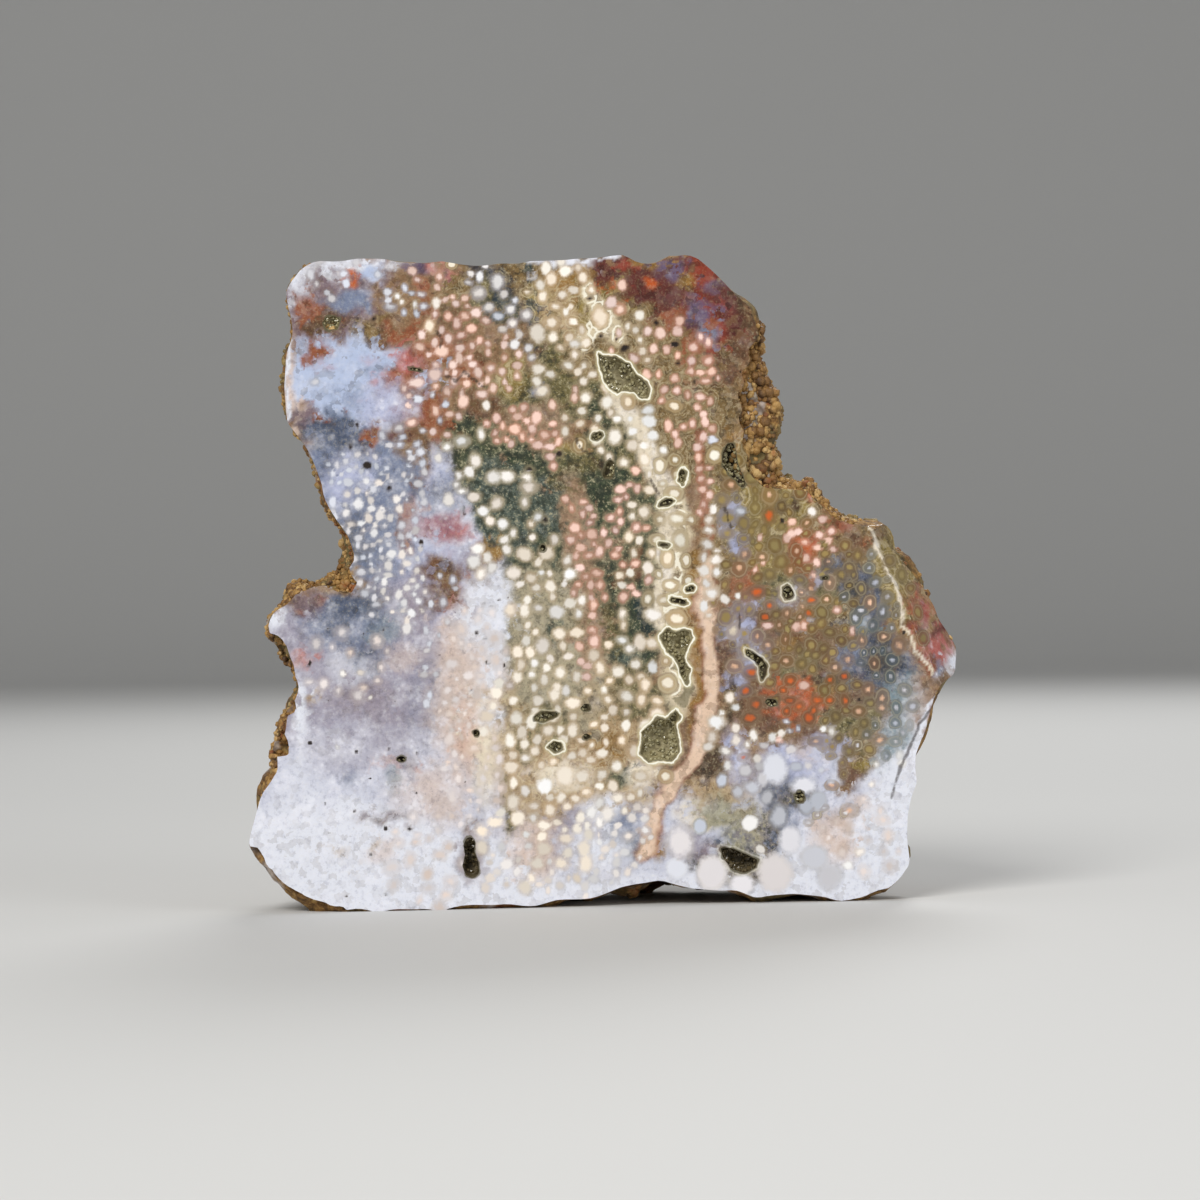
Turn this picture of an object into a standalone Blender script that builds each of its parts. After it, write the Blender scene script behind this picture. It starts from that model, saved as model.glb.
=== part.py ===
"""Ocean jasper: one piece of orb jasper that stands on its own foot, with one side sawn flat and polished.

The stone is drawn from the front: x runs to the right, z upwards, and y back from the polished face.
All sizes are in millimetres until the finished mesh is scaled to metres.
"""

import math
import random

import bmesh
import bpy
from mathutils import Euler, Matrix, Vector, noise

MILLIMETRE = 0.001
THICKNESS = 38.0
# How far the stone, as it is drawn, is turned clockwise to stand on both of its feet.
STANDING_TURN = math.radians(0.96)
VOXEL = 1.0
TRIANGLES = 8800
SEED = 11

# The stone's outline as seen from the front, clockwise from the upper left corner: x, z, and the
# width of the crust that shows beside the polished face there.
OUTLINE = [
    (-49.0, 91.6, 0.9), (-46.5, 95.5, 0.6), (-44.2, 96.3, 0.4), (-41.4, 96.4, 0.4),
    (-35.2, 96.9, 0.4), (-31.5, 96.3, 0.4), (-22.9, 96.4, 0.4), (-19.6, 95.8, 0.4),
    (-14.2, 96.4, 0.4), (-10.5, 96.7, 0.4), (-4.8, 96.9, 0.4), (-1.0, 97.5, 0.4),
    (2.1, 97.8, 0.5), (4.6, 96.5, 1.0), (8.1, 96.9, 0.9), (8.7, 97.8, 0.6),
    (12.3, 97.9, 0.5), (14.2, 96.6, 0.6), (16.2, 94.8, 0.8), (18.1, 93.1, 0.9),
    (19.6, 91.9, 1.1), (22.0, 90.6, 1.6), (22.6, 88.2, 2.0), (23.8, 85.0, 2.6),
    (22.0, 83.1, 2.0), (23.7, 82.0, 3.2), (24.3, 80.1, 3.8), (22.8, 79.0, 2.6),
    (24.6, 78.1, 4.4), (26.1, 76.3, 5.4), (27.1, 73.3, 6.4), (25.8, 71.7, 5.2),
    (25.5, 69.6, 4.8), (24.7, 67.9, 4.2), (26.2, 66.1, 4.8), (24.3, 65.1, 2.6),
    (25.3, 63.3, 1.6), (28.5, 63.3, 2.0), (30.7, 64.9, 3.0), (32.5, 61.2, 2.4),
    (34.2, 59.8, 2.4), (36.0, 57.9, 2.2), (37.8, 57.9, 2.8), (40.3, 57.3, 2.8),
    (41.4, 57.9, 3.4), (42.3, 56.4, 2.8), (43.3, 54.1, 2.2), (43.9, 51.7, 2.0),
    (45.1, 50.1, 2.1), (46.9, 48.1, 2.4), (48.4, 46.8, 2.8), (50.2, 43.8, 3.0),
    (50.1, 42.4, 2.8), (51.9, 40.9, 3.2), (53.7, 38.2, 3.4), (53.5, 36.6, 3.0),
    (52.2, 34.6, 2.2), (50.7, 33.1, 1.4), (50.5, 31.6, 1.7), (49.6, 29.2, 1.6),
    (49.3, 27.4, 1.8), (48.1, 24.3, 1.4), (46.6, 22.8, 0.8), (46.8, 18.0, 0.8),
    (45.7, 15.9, 0.6), (45.1, 13.5, 0.5), (45.1, 8.5, 0.5), (45.4, 5.8, 0.5),
    (44.5, 4.2, 0.5), (42.0, 1.9, 0.5), (40.8, 1.9, 0.5), (38.1, 1.0, 0.5),
    (36.4, 0.6, 0.4), (34.6, 0.7, 0.4), (27.4, 1.6, 0.4), (23.8, 0.9, 0.4),
    (22.3, 0.7, 0.4), (18.1, 2.1, 0.4), (12.0, 2.2, 0.4), (8.1, 3.4, 0.4),
    (3.1, 2.8, 0.4), (-0.7, 1.5, 0.4), (-2.5, 0.7, 0.4), (-4.5, 1.0, 0.4),
    (-7.6, 0.7, 0.4), (-12.3, -0.3, 0.4), (-15.3, 0.1, 0.4), (-20.1, 0.1, 0.4),
    (-26.7, -0.6, 0.5), (-31.5, -0.7, 0.6), (-40.5, -1.0, 1.2), (-43.6, -0.7, 1.8),
    (-47.8, 1.0, 2.2), (-49.3, 2.4, 2.0), (-51.1, 4.2, 1.6), (-51.1, 5.5, 1.2),
    (-53.2, 6.7, 1.0), (-53.5, 8.7, 0.6), (-52.9, 11.2, 0.5), (-52.0, 15.4, 0.6),
    (-51.0, 18.1, 1.4), (-50.5, 19.8, 1.8), (-51.9, 22.0, 3.4), (-51.0, 23.4, 3.4),
    (-50.2, 26.7, 2.8), (-49.9, 28.5, 2.6), (-48.6, 28.8, 1.4), (-47.2, 31.9, 0.9),
    (-46.9, 33.4, 0.9), (-48.3, 35.4, 1.4), (-49.9, 37.2, 1.7), (-48.8, 38.3, 1.2),
    (-51.3, 39.7, 1.4), (-51.9, 42.3, 0.9), (-51.1, 43.8, 0.8), (-48.7, 44.8, 1.0),
    (-47.8, 47.5, 1.6), (-43.2, 48.1, 1.6), (-42.1, 49.8, 1.8), (-40.2, 49.5, 1.4),
    (-38.5, 51.6, 0.8), (-39.3, 54.4, 1.1), (-41.7, 57.6, 1.4), (-42.9, 59.4, 1.4),
    (-43.8, 62.1, 1.4), (-45.1, 66.4, 1.5), (-46.9, 70.0, 1.4), (-48.9, 72.6, 1.0),
    (-49.2, 76.8, 1.1), (-49.2, 81.0, 1.1), (-48.1, 84.0, 0.9), (-48.0, 88.3, 1.0),
]
# The point that the sections behind the face shrink towards, x and z.
HEART = (-1.5, 47.0)
# The sections from front to back: the depth behind the face, how much of the crust's width is
# still missing, and the size compared with the outline.
SECTIONS = [
    (-3.0, 1.0, 1.0), (0.0, 1.0, 1.0), (1.0, 0.55, 1.0), (3.2, 0.0, 1.0), (9.0, 0.0, 0.97),
    (16.0, 0.0, 0.94), (23.0, 0.0, 0.905), (29.0, 0.0, 0.855), (33.5, 0.0, 0.775),
    (36.5, 0.0, 0.63), (38.0, 0.0, 0.42),
]
# The outline's small steps fade out between these depths, over this many points to either side.
CALM_DEPTHS = (5.0, 18.0)
CALM_POINTS = 3
# The foot: where the standing stone's edge is lower than the second of these heights, and fully
# where it is lower than the first, the sections between these depths reach this far past the
# ground, where the stone is cut off flat.
FOOT_HEIGHTS = (0.7, 2.2)
FOOT_DEPTHS = (2.0, 27.0)
FOOT_REACH = 0.9

# Rounded lumps in the golden hollow and on the knobs of the right side: x, depth, z, radius.
GOLD_LUMPS = [
    (21.6, 3.4, 88.6, 1.5), (22.0, 6.0, 85.2, 1.7), (20.7, 3.0, 82.6, 1.6), (22.2, 5.2, 80.6, 1.7),
    (20.6, 2.4, 79.2, 1.5), (23.9, 6.5, 77.6, 1.7), (22.4, 3.0, 76.4, 1.6), (25.0, 5.8, 74.4, 1.9),
    (23.0, 2.6, 73.6, 1.3), (22.1, 2.2, 71.2, 1.5), (24.0, 4.4, 70.4, 1.6), (23.1, 3.0, 68.2, 1.4),
    (24.8, 5.4, 66.4, 1.6), (22.4, 1.8, 66.4, 1.1), (27.4, 4.4, 62.2, 1.3), (30.4, 4.2, 63.2, 1.3),
    (32.2, 3.6, 60.2, 1.4), (36.6, 3.6, 56.6, 1.4), (38.4, 4.4, 56.4, 1.7), (40.8, 4.4, 56.4, 1.8),
    (41.9, 4.6, 54.6, 1.4),
]
# Lumps that are spread over the rest of the crust.
LUMP_COUNT = 260
LUMP_RADII = (1.6, 4.6)
LUMP_DEPTHS = (7.0, 37.0)
LUMP_SINK = 0.42
# How far the crust swells in and out, and over what distance: broadly, in between and finely.
SWELLS = [(3.0, 19.0), (1.3, 7.5), (0.4, 3.0)]
# The swells grow from nothing to their full size between these depths, apart from the finest.
SWELL_DEPTHS = (2.0, 12.0)

# The polished facet on the right: two points of its front edge (x, z), its slope back from the
# face, and the cutter's size.
FACET_TOP = (39.9, 54.0)
FACET_FOOT = (49.6, 33.6)
FACET_SLOPE = math.radians(50)
FACET_OVERLAP = 1.5
CUTTER_REACH = 30.0

# Hollows in the polished face: x, z, length, width, depth, and the turn of the length from upright.
HOLLOWS = [
    (2.1, 79.2, 8.0, 3.6, 2.6, 52.0),
    (10.0, 37.0, 7.4, 3.4, 2.6, 0.0),
    (7.4, 25.6, 7.6, 5.6, 3.4, -8.0),
    (-20.6, 7.3, 6.4, 2.6, 2.4, 0.0),
    (19.6, 7.0, 6.0, 3.6, 2.6, 80.0),
    (18.7, 66.8, 5.6, 3.0, 2.4, 12.0),
]


def clear_scene():
    for old in list(bpy.data.objects):
        bpy.data.objects.remove(old, do_unlink=True)


def new_collection(name):
    made = bpy.data.collections.new(name)
    bpy.context.scene.collection.children.link(made)
    return made


def new_object(name, bm, collection):
    """An object made of bm's mesh, in a collection."""
    mesh = bpy.data.meshes.new(name)
    bm.to_mesh(mesh)
    bm.free()
    made = bpy.data.objects.new(name, mesh)
    collection.objects.link(made)
    return made


def keep_modified(obj):
    """Puts the shape that the object's modifiers give into its mesh, and takes them off."""
    bpy.context.view_layer.update()
    seen = obj.evaluated_get(bpy.context.evaluated_depsgraph_get())
    old = obj.data
    obj.data = bpy.data.meshes.new_from_object(seen)
    obj.modifiers.clear()
    bpy.data.meshes.remove(old)


def as_cutter(obj):
    obj.hide_render = True
    obj.display_type = "WIRE"


def share_between(value, ends):
    """How far value is on the way from the first end to the second, from 0 to 1."""
    return min(max((value - ends[0]) / (ends[1] - ends[0]), 0.0), 1.0)


def outline_point(index, calm):
    """A point of the outline, drawn towards the mean of its neighbours as calm goes to 1."""
    near = [OUTLINE[(index + i) % len(OUTLINE)] for i in range(-CALM_POINTS, CALM_POINTS + 1)]
    drawn = near[CALM_POINTS]
    return [own + (sum(column) / len(near) - own) * calm for own, column in zip(drawn, zip(*near))]


def section_point(index, depth, missing, size):
    """One point of one section of the stone."""
    x, z, crust = outline_point(index, share_between(depth, CALM_DEPTHS))
    from_heart = Vector((x - HEART[0], z - HEART[1]))
    from_heart = from_heart * size - from_heart.normalized() * crust * missing
    drop = 0.0
    if FOOT_DEPTHS[0] < depth < FOOT_DEPTHS[1]:
        drop = FOOT_REACH + (1.0 - size) * HEART[1]
        drop *= 1.0 - share_between(z - x * math.sin(STANDING_TURN), FOOT_HEIGHTS)
    return Vector((HEART[0] + from_heart.x, depth, HEART[1] + from_heart.y - drop))


def crust_point(along, depth):
    """A point of the crust: along is the place on the outline, counted in its points."""
    behind = next(i for i, s in enumerate(SECTIONS) if s[0] >= depth)
    front, back = SECTIONS[behind - 1], SECTIONS[behind]
    share = (depth - front[0]) / (back[0] - front[0])
    missing, size = (front[i] + (back[i] - front[i]) * share for i in (1, 2))
    first = int(along)
    ends = [section_point(first + step, depth, missing, size) for step in (0, 1)]
    return ends[0].lerp(ends[1], along - first)


def loft(bm):
    """The closed skin through all the sections."""
    count = len(OUTLINE)
    ring = [bm.verts.new(section_point(i, *SECTIONS[0])) for i in range(count)]
    edges = [bm.edges.new((ring[i - 1], ring[i])) for i in range(count)]
    bm.faces.new(ring)
    for section in SECTIONS[1:]:
        made = bmesh.ops.extrude_edge_only(bm, edges=edges)["geom"]
        moved = [v for v in made if isinstance(v, bmesh.types.BMVert)]
        edges = [e for e in made if isinstance(e, bmesh.types.BMEdge)]
        for vert in moved:
            old = next(
                e.other_vert(vert) for e in vert.link_edges if e.other_vert(vert) not in moved
            )
            place = section_point(ring.index(old), *section)
            ring[ring.index(old)] = vert
            vert.co = place
    bm.faces.new(ring)
    bmesh.ops.recalc_face_normals(bm, faces=bm.faces[:])


def add_lump(bm, place, radius):
    bmesh.ops.create_icosphere(
        bm, subdivisions=2, radius=radius, matrix=Matrix.Translation(place)
    )


def add_lumps(bm):
    for x, depth, z, radius in GOLD_LUMPS:
        add_lump(bm, Vector((x, depth, z)), radius)
    draw = random.Random(SEED)
    for _ in range(LUMP_COUNT):
        place = crust_point(draw.uniform(0, len(OUTLINE)), draw.uniform(*LUMP_DEPTHS))
        radius = draw.uniform(*LUMP_RADII) * draw.uniform(0.6, 1.0)
        inwards = Vector((HEART[0], THICKNESS / 3, HEART[1])) - place
        add_lump(bm, place + inwards.normalized() * radius * LUMP_SINK, radius)


def roughen(mesh):
    """Swells the crust in and out along its normals, and leaves the front as it is drawn."""
    moves = []
    for vert in mesh.vertices:
        free = share_between(vert.co.y, SWELL_DEPTHS)
        *broad, fine = [noise.noise(vert.co / length) * size for size, length in SWELLS]
        moves.append(vert.normal * (sum(broad) * free + fine))
    for vert, move in zip(mesh.vertices, moves):
        vert.co += move


def make_rough_stone(collection):
    """The stone with its crust, before it is sawn: the skin and all lumps grown into one body."""
    bm = bmesh.new()
    loft(bm)
    add_lumps(bm)
    stone = new_object("ocean_jasper", bm, collection)
    fuse = stone.modifiers.new("Fuse", "REMESH")
    fuse.mode = "VOXEL"
    fuse.voxel_size = VOXEL
    keep_modified(stone)
    roughen(stone.data)
    thin = stone.modifiers.new("Thin", "DECIMATE")
    stone.data.calc_loop_triangles()
    thin.ratio = TRIANGLES / len(stone.data.loop_triangles)
    keep_modified(stone)
    return stone


def make_saw_block(collection):
    """What the two flat cuts leave: behind the polished face, and above the foot."""
    bm = bmesh.new()
    bmesh.ops.create_cube(bm, size=1.0)
    size = Vector((160.0, 60.0, 130.0))
    bmesh.ops.scale(bm, vec=size, verts=bm.verts)
    bmesh.ops.translate(bm, vec=Vector((0.0, size.y / 2, size.z / 2)), verts=bm.verts)
    return new_object("saw_block", bm, collection)


def make_facet_cutter(collection):
    """What the polished facet on the right takes off."""
    top = Vector((FACET_TOP[0], 0.0, FACET_TOP[1]))
    foot = Vector((FACET_FOOT[0], 0.0, FACET_FOOT[1]))
    down = (foot - top).normalized()
    outwards = Vector((-down.z, 0.0, down.x))
    back = Vector((0.0, 1.0, 0.0))
    slope = outwards * math.cos(FACET_SLOPE) + back * math.sin(FACET_SLOPE)
    facing = outwards * math.sin(FACET_SLOPE) - back * math.cos(FACET_SLOPE)
    length = (foot - top).length + 2 * FACET_OVERLAP
    bm = bmesh.new()
    bmesh.ops.create_cube(bm, size=1.0)
    bmesh.ops.scale(bm, vec=Vector((length, CUTTER_REACH, CUTTER_REACH)), verts=bm.verts)
    middle = (top + foot) / 2 + facing * CUTTER_REACH / 2
    frame = Matrix((down, slope, facing)).transposed().to_4x4()
    bmesh.ops.transform(bm, matrix=Matrix.Translation(middle) @ frame, verts=bm.verts)
    bmesh.ops.recalc_face_normals(bm, faces=bm.faces[:])
    return new_object("facet_cutter", bm, collection)


def make_hollow_cutter(number, hollow, collection):
    """A lumpy pebble shape that is sunk into the face and leaves one hollow."""
    x, z, length, width, depth, turn = hollow
    bm = bmesh.new()
    bmesh.ops.create_icosphere(bm, subdivisions=2, radius=1.0)
    bmesh.ops.scale(bm, vec=Vector((width / 2, depth, length / 2)), verts=bm.verts)
    draw = random.Random(SEED + number)
    for vert in bm.verts:
        vert.co *= draw.uniform(0.82, 1.12)
    turned = Euler((0.0, math.radians(turn), 0.0)).to_matrix()
    bmesh.ops.rotate(bm, matrix=turned, verts=bm.verts)
    bmesh.ops.translate(bm, vec=Vector((x, 0.0, z)), verts=bm.verts)
    return new_object(f"hollow_cutter_{number}", bm, collection)


def cut(stone, cutter, operation):
    as_cutter(cutter)
    saw = stone.modifiers.new("Cut", "BOOLEAN")
    saw.operation = operation
    saw.solver = "EXACT"
    saw.object = cutter
    keep_modified(stone)


def stand(stone):
    """Turns the stone onto its feet, before the flat cuts."""
    stone.data.transform(Matrix.Rotation(STANDING_TURN, 4, "Y"))


def place(stone):
    """Scales the finished mesh to metres, with the middle of its footprint at the origin."""
    corners = [Vector(corner) for corner in stone.bound_box]
    middle = (corners[0] + corners[6]) / 2
    shift = Matrix.Translation(Vector((-middle.x, -middle.y, 0.0)))
    stone.data.transform(Matrix.Scale(MILLIMETRE, 4) @ shift)


def make_stone_material():
    """Mottled tan and lilac chalcedony, close to its mean colour, with a polished shine."""
    material = bpy.data.materials.new("orb_jasper")
    material.use_nodes = True
    shader = material.node_tree.nodes["Principled BSDF"]
    shader.inputs["Base Color"].default_value = (0.42, 0.35, 0.27, 1.0)
    shader.inputs["Roughness"].default_value = 0.25
    shader.inputs["Metallic"].default_value = 0.0
    material.diffuse_color = (0.42, 0.35, 0.27, 1.0)
    return material


def main():
    clear_scene()
    pieces = new_collection("ocean_jasper")
    cutters = new_collection("cutters")
    stone = make_rough_stone(pieces)
    for number, hollow in enumerate(HOLLOWS):
        cut(stone, make_hollow_cutter(number, hollow, cutters), "DIFFERENCE")
    cut(stone, make_facet_cutter(cutters), "DIFFERENCE")
    stand(stone)
    cut(stone, make_saw_block(cutters), "INTERSECT")
    place(stone)
    stone.data.materials.clear()
    stone.data.materials.append(make_stone_material())


main()
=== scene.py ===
"""Ocean jasper: the finish of one piece of orb jasper that stands on its own foot.

The polished face carries its pattern in the mesh: the ground's colours, the orbs and the edges of
the hollows are worked out for each point of a fine grid, and the material draws from them.
Places on the face are given as they lie in the picture of the stone, in steps of PICTURE_MM. An
ellipse there is x, y, half width, half height and a turn in degrees, which is left out in some
tables where it is 0.
"""

import math
import random
from contextlib import contextmanager

import bpy
import numpy as np
from mathutils import Matrix, Vector, noise


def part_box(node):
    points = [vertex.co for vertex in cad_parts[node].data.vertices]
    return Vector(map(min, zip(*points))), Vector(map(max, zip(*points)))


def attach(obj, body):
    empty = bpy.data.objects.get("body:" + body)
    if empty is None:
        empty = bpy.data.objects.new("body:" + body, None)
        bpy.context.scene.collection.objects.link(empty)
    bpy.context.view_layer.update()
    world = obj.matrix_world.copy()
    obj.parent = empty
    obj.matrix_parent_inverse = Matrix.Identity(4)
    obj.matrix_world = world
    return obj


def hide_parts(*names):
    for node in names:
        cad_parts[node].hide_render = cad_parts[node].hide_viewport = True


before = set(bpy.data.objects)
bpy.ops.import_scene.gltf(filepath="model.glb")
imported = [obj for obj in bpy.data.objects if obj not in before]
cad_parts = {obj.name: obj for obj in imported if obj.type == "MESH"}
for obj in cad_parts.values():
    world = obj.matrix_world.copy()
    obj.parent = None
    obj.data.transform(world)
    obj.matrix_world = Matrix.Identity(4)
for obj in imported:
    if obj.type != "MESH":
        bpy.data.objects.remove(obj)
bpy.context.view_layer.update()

MM = 0.001
STONE_NODE = "ocean_jasper"
LOW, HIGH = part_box(STONE_NODE)

# One step of the picture on the polished face, the spot there that is drawn at x = 0, z = 0, and
# how the drawn stone was turned and moved to stand.
PICTURE_MM = 0.15
PICTURE_ORIGIN = (610.0, 905.0)
STANDING_TURN = math.radians(0.96)
STANDING_SHIFT = 0.566

# The mesh: the grain of the crust, the face's grid, the hollows and the chips, and how far the sawn
# sides are grown before the cuts. A face lies in a plane if its normal's share along the plane's is
# more than FLAT_LEAN and its middle is less than FLAT_GAP off.
CRUST_GRAIN = 0.92 * MM
FACE_GRID = 0.38 * MM
HOLLOW_GRAIN = 0.32 * MM
CHIP_GRAIN = 0.7 * MM
GROWTH = 2.2 * MM
FLAT_LEAN = 0.999
FLAT_GAP = 0.02 * MM
MERGE_GAP = 1e-6
SMOOTH_ANGLE = math.radians(50)
# How noise of another seed is shifted.
SEED_SHIFTS = (31.7, 17.3, 5.9)

# The saw block: how much wider and higher than the stone it is, and its depth.
SAW_ROOM = (6, 4)
BLOCK_DEPTH = 60.0 * MM

# The crust's relief in millimetres: the spacing of its knobs and the depth between them, the
# spacing, the sharpness and the depth of its pores, and where it is calmer.
CRUST_KNOBS = [(2.6, 0.55), (1.1, 0.22)]
PORES = (6.0, 1.6, 0.5)
FACET_CALM = 0.25
FACET_MARGIN = 0.5
EDGE_CALM = 0.1
EDGE_CALM_DEPTH = 4

# The polished facet on the right: two spots of its front edge, its slope back from the face, and
# the size of the block that cuts it, in millimetres.
FACET_TOP = (876.0, 545.0)
FACET_FOOT = (940.7, 681.0)
FACET_SLOPE = math.radians(50)
FACET_SIZE = (27.0, 30.0)
FACET_BLOCK_DEPTH = 15

# The hollows that the solid has already: x, y, width, height and depth in millimetres, and turn.
# They are filled with plugs a little larger, and cut again with their own outlines.
OLD_HOLLOWS = [
    (624.0, 377.0, 3.6, 8.0, 2.6, 52.0), (676.7, 658.3, 3.4, 7.4, 2.6, 0.0),
    (659.3, 734.3, 5.6, 7.6, 3.4, -8.0), (472.7, 856.3, 2.6, 6.4, 2.4, 0.0),
    (740.7, 858.3, 3.6, 6.0, 2.6, 80.0), (734.7, 459.7, 3.0, 5.6, 2.4, 12.0),
]
PLUG_SIZE = 1.2

# The edge at the lower left: its area, over how many steps of the picture the change grows, how far
# the crust behind is trimmed back and how far the face's edge is pushed out, in millimetres, and
# the depths between which each change comes or goes.
BULGE = (240.0, 800.0, 46.0, 62.0)
BULGE_STEPS = 14.0
BULGE_TRIM = 1.9
EDGE_PUSH = 0.8
TRIM_DEPTHS = (2.0, 4.5)
PUSH_DEPTHS = (0.8, 2.8)

# The hollows with outlines of their own: depth in millimetres, how white the rim is, how dark the
# floor is, partly the druzy's own dark brown and partly painted shade, and the outline.
HOLLOWS = [
    (1.9, 1.0, 0.2, [
        (598, 354), (603, 358), (616, 358), (623, 363), (629, 365), (635, 375), (645, 383),
        (650, 391), (648, 398), (642, 399), (634, 392), (623, 391), (618, 394), (610, 389),
        (605, 383), (603, 376), (600, 366)]),
    (1.8, 1.0, 0.1, [
        (667, 628), (675, 633), (683, 630), (690, 631), (692, 638), (687, 647), (683, 657),
        (686, 666), (691, 669), (688, 674), (687, 684), (681, 676), (679, 664), (674, 656),
        (667, 652), (663, 643), (660, 636)]),
    (2.2, 1.0, 0.0, [
        (676, 710), (680, 716), (675, 724), (678, 743), (679, 752), (672, 760), (658, 759),
        (649, 761), (640, 753), (643, 740), (641, 731), (650, 725), (657, 717), (667, 720)]),
    (2.6, 0.0, 0.85, [
        (467, 836), (472, 835), (476, 840), (475, 850), (479, 860), (480, 872), (474, 877),
        (467, 874), (463, 864), (466, 853), (464, 844)]),
    (2.8, 0.2, 0.85, [
        (720, 846), (733, 848), (747, 854), (758, 859), (756, 867), (744, 873), (731, 868),
        (723, 857)]),
    (2.4, 0.0, 1.0, [
        (727, 444), (733, 443), (736, 452), (737, 463), (741, 472), (746, 484), (743, 489),
        (735, 480), (728, 474), (722, 466), (722, 454)]),
    (1.4, 0.4, 0.9, [
        (745, 648), (752, 652), (762, 658), (767, 666), (766, 675), (762, 681), (760, 674),
        (760, 667), (754, 660), (746, 655)]),
]
# Places at the face's edge where the polish stops early: depth and outline.
CHIPS = [
    (2.0, [
        (812, 330), (762, 332), (754, 344), (746, 350), (750, 362), (741, 372), (744, 386),
        (736, 396), (742, 408), (737, 420), (744, 432), (740, 444), (748, 456), (745, 468),
        (754, 480), (764, 488), (812, 492)]),
    (1.3, [
        (786, 478), (794, 486), (806, 490), (818, 500), (832, 506), (846, 510), (862, 518),
        (868, 524), (880, 500), (850, 470), (800, 460)]),
    (2.8, [
        (240, 634), (272, 632), (283, 636), (290, 645), (293, 656), (297, 668), (298, 680),
        (294, 684), (240, 684)]),
    (2.6, [
        (240, 690), (293, 690), (298, 700), (299, 711), (292, 715), (276, 714), (240, 712)]),
    (2.8, [
        (240, 722), (275, 721), (284, 729), (289, 737), (293, 750), (290, 756), (270, 755),
        (240, 756)]),
    (2.0, [
        (230, 767), (269, 766), (276, 774), (268, 782), (264, 792), (230, 795)]),
    (1.2, [
        (300, 560), (336, 566), (350, 560), (352, 574), (360, 584), (352, 594), (338, 592),
        (326, 586), (310, 590), (296, 596), (284, 590), (280, 570)]),
    (0.9, [
        (240, 840), (262, 846), (272, 866), (290, 884), (318, 898), (350, 906), (350, 925),
        (240, 925)]),
]
# Small pits: x, y, half width, half height, turn, depth in millimetres, how white the rim is, and how
# dark the floor is, partly the stone's own dark colour and partly painted shade.
PITS = [
    (545, 716, 12, 5, 10, 1.4, 0.2, 0.5), (586, 707, 5, 4, 0, 1.0, 0.0, 0.8),
    (587, 736, 4, 3, 0, 0.8, 0.0, 0.8), (556, 746, 7, 5, 0, 1.3, 0.8, 0.3),
    (403, 758, 5, 3.4, 0, 1.4, 0.0, 1.0), (477, 732, 3.4, 3.4, 0, 1.0, 0.0, 0.9),
    (788, 593, 5, 7, 15, 1.2, 0.5, 1.0), (333, 325, 9, 8, 0, 1.2, 0.0, 0.3),
    (682, 477, 3.4, 8, 0, 1.2, 0.9, 0.3), (690, 589, 5, 2.6, 20, 0.9, 0.9, 0.9),
    (678, 601, 9, 2.6, -14, 0.9, 0.9, 0.9), (771, 702, 6, 4, 0, 1.0, 0.0, 1.0),
    (800, 797, 5, 7, 0, 1.3, 0.0, 0.8), (416, 371, 8, 2.0, -8, 0.6, 0.0, 0.8),
    (666, 503, 8, 3.0, 24, 0.9, 0.8, 0.9), (664, 545, 5, 2.0, 0, 0.7, 0.7, 0.8),
    (825, 578, 4, 2.0, 10, 0.8, 0.0, 0.9), (609, 470, 6, 10, -15, 1.2, 0.0, 0.6),
    (597, 437, 6, 4, 20, 0.9, 0.6, 0.5), (543, 548, 3, 4, 0, 0.8, 0.0, 0.8),
]
PIT_POINTS = 14
PIT_WOBBLE = 0.22
# How the cutters are made: how far in front of the face they start, the share of the depth and the
# size at each step down, and swells on their sides: length, seed and height. Near the face, within
# a depth, the swells are less.
CUTTER_START = 0.8
HOLLOW_STEPS = [(0.3, 0.94), (0.35, 0.82), (0.35, 0.55)]
HOLLOW_SWELLS = [(0.9, 0, 0.3), (0.45, 40.0, 0.15)]
HOLLOW_CALM = 0.5
CHIP_STEPS = [(1.0, 1.0)]
CHIP_SWELLS = [(2.2, 60.0, 0.8), (1.0, 80.0, 0.4)]
CHIP_CALM = 0.4

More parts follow.
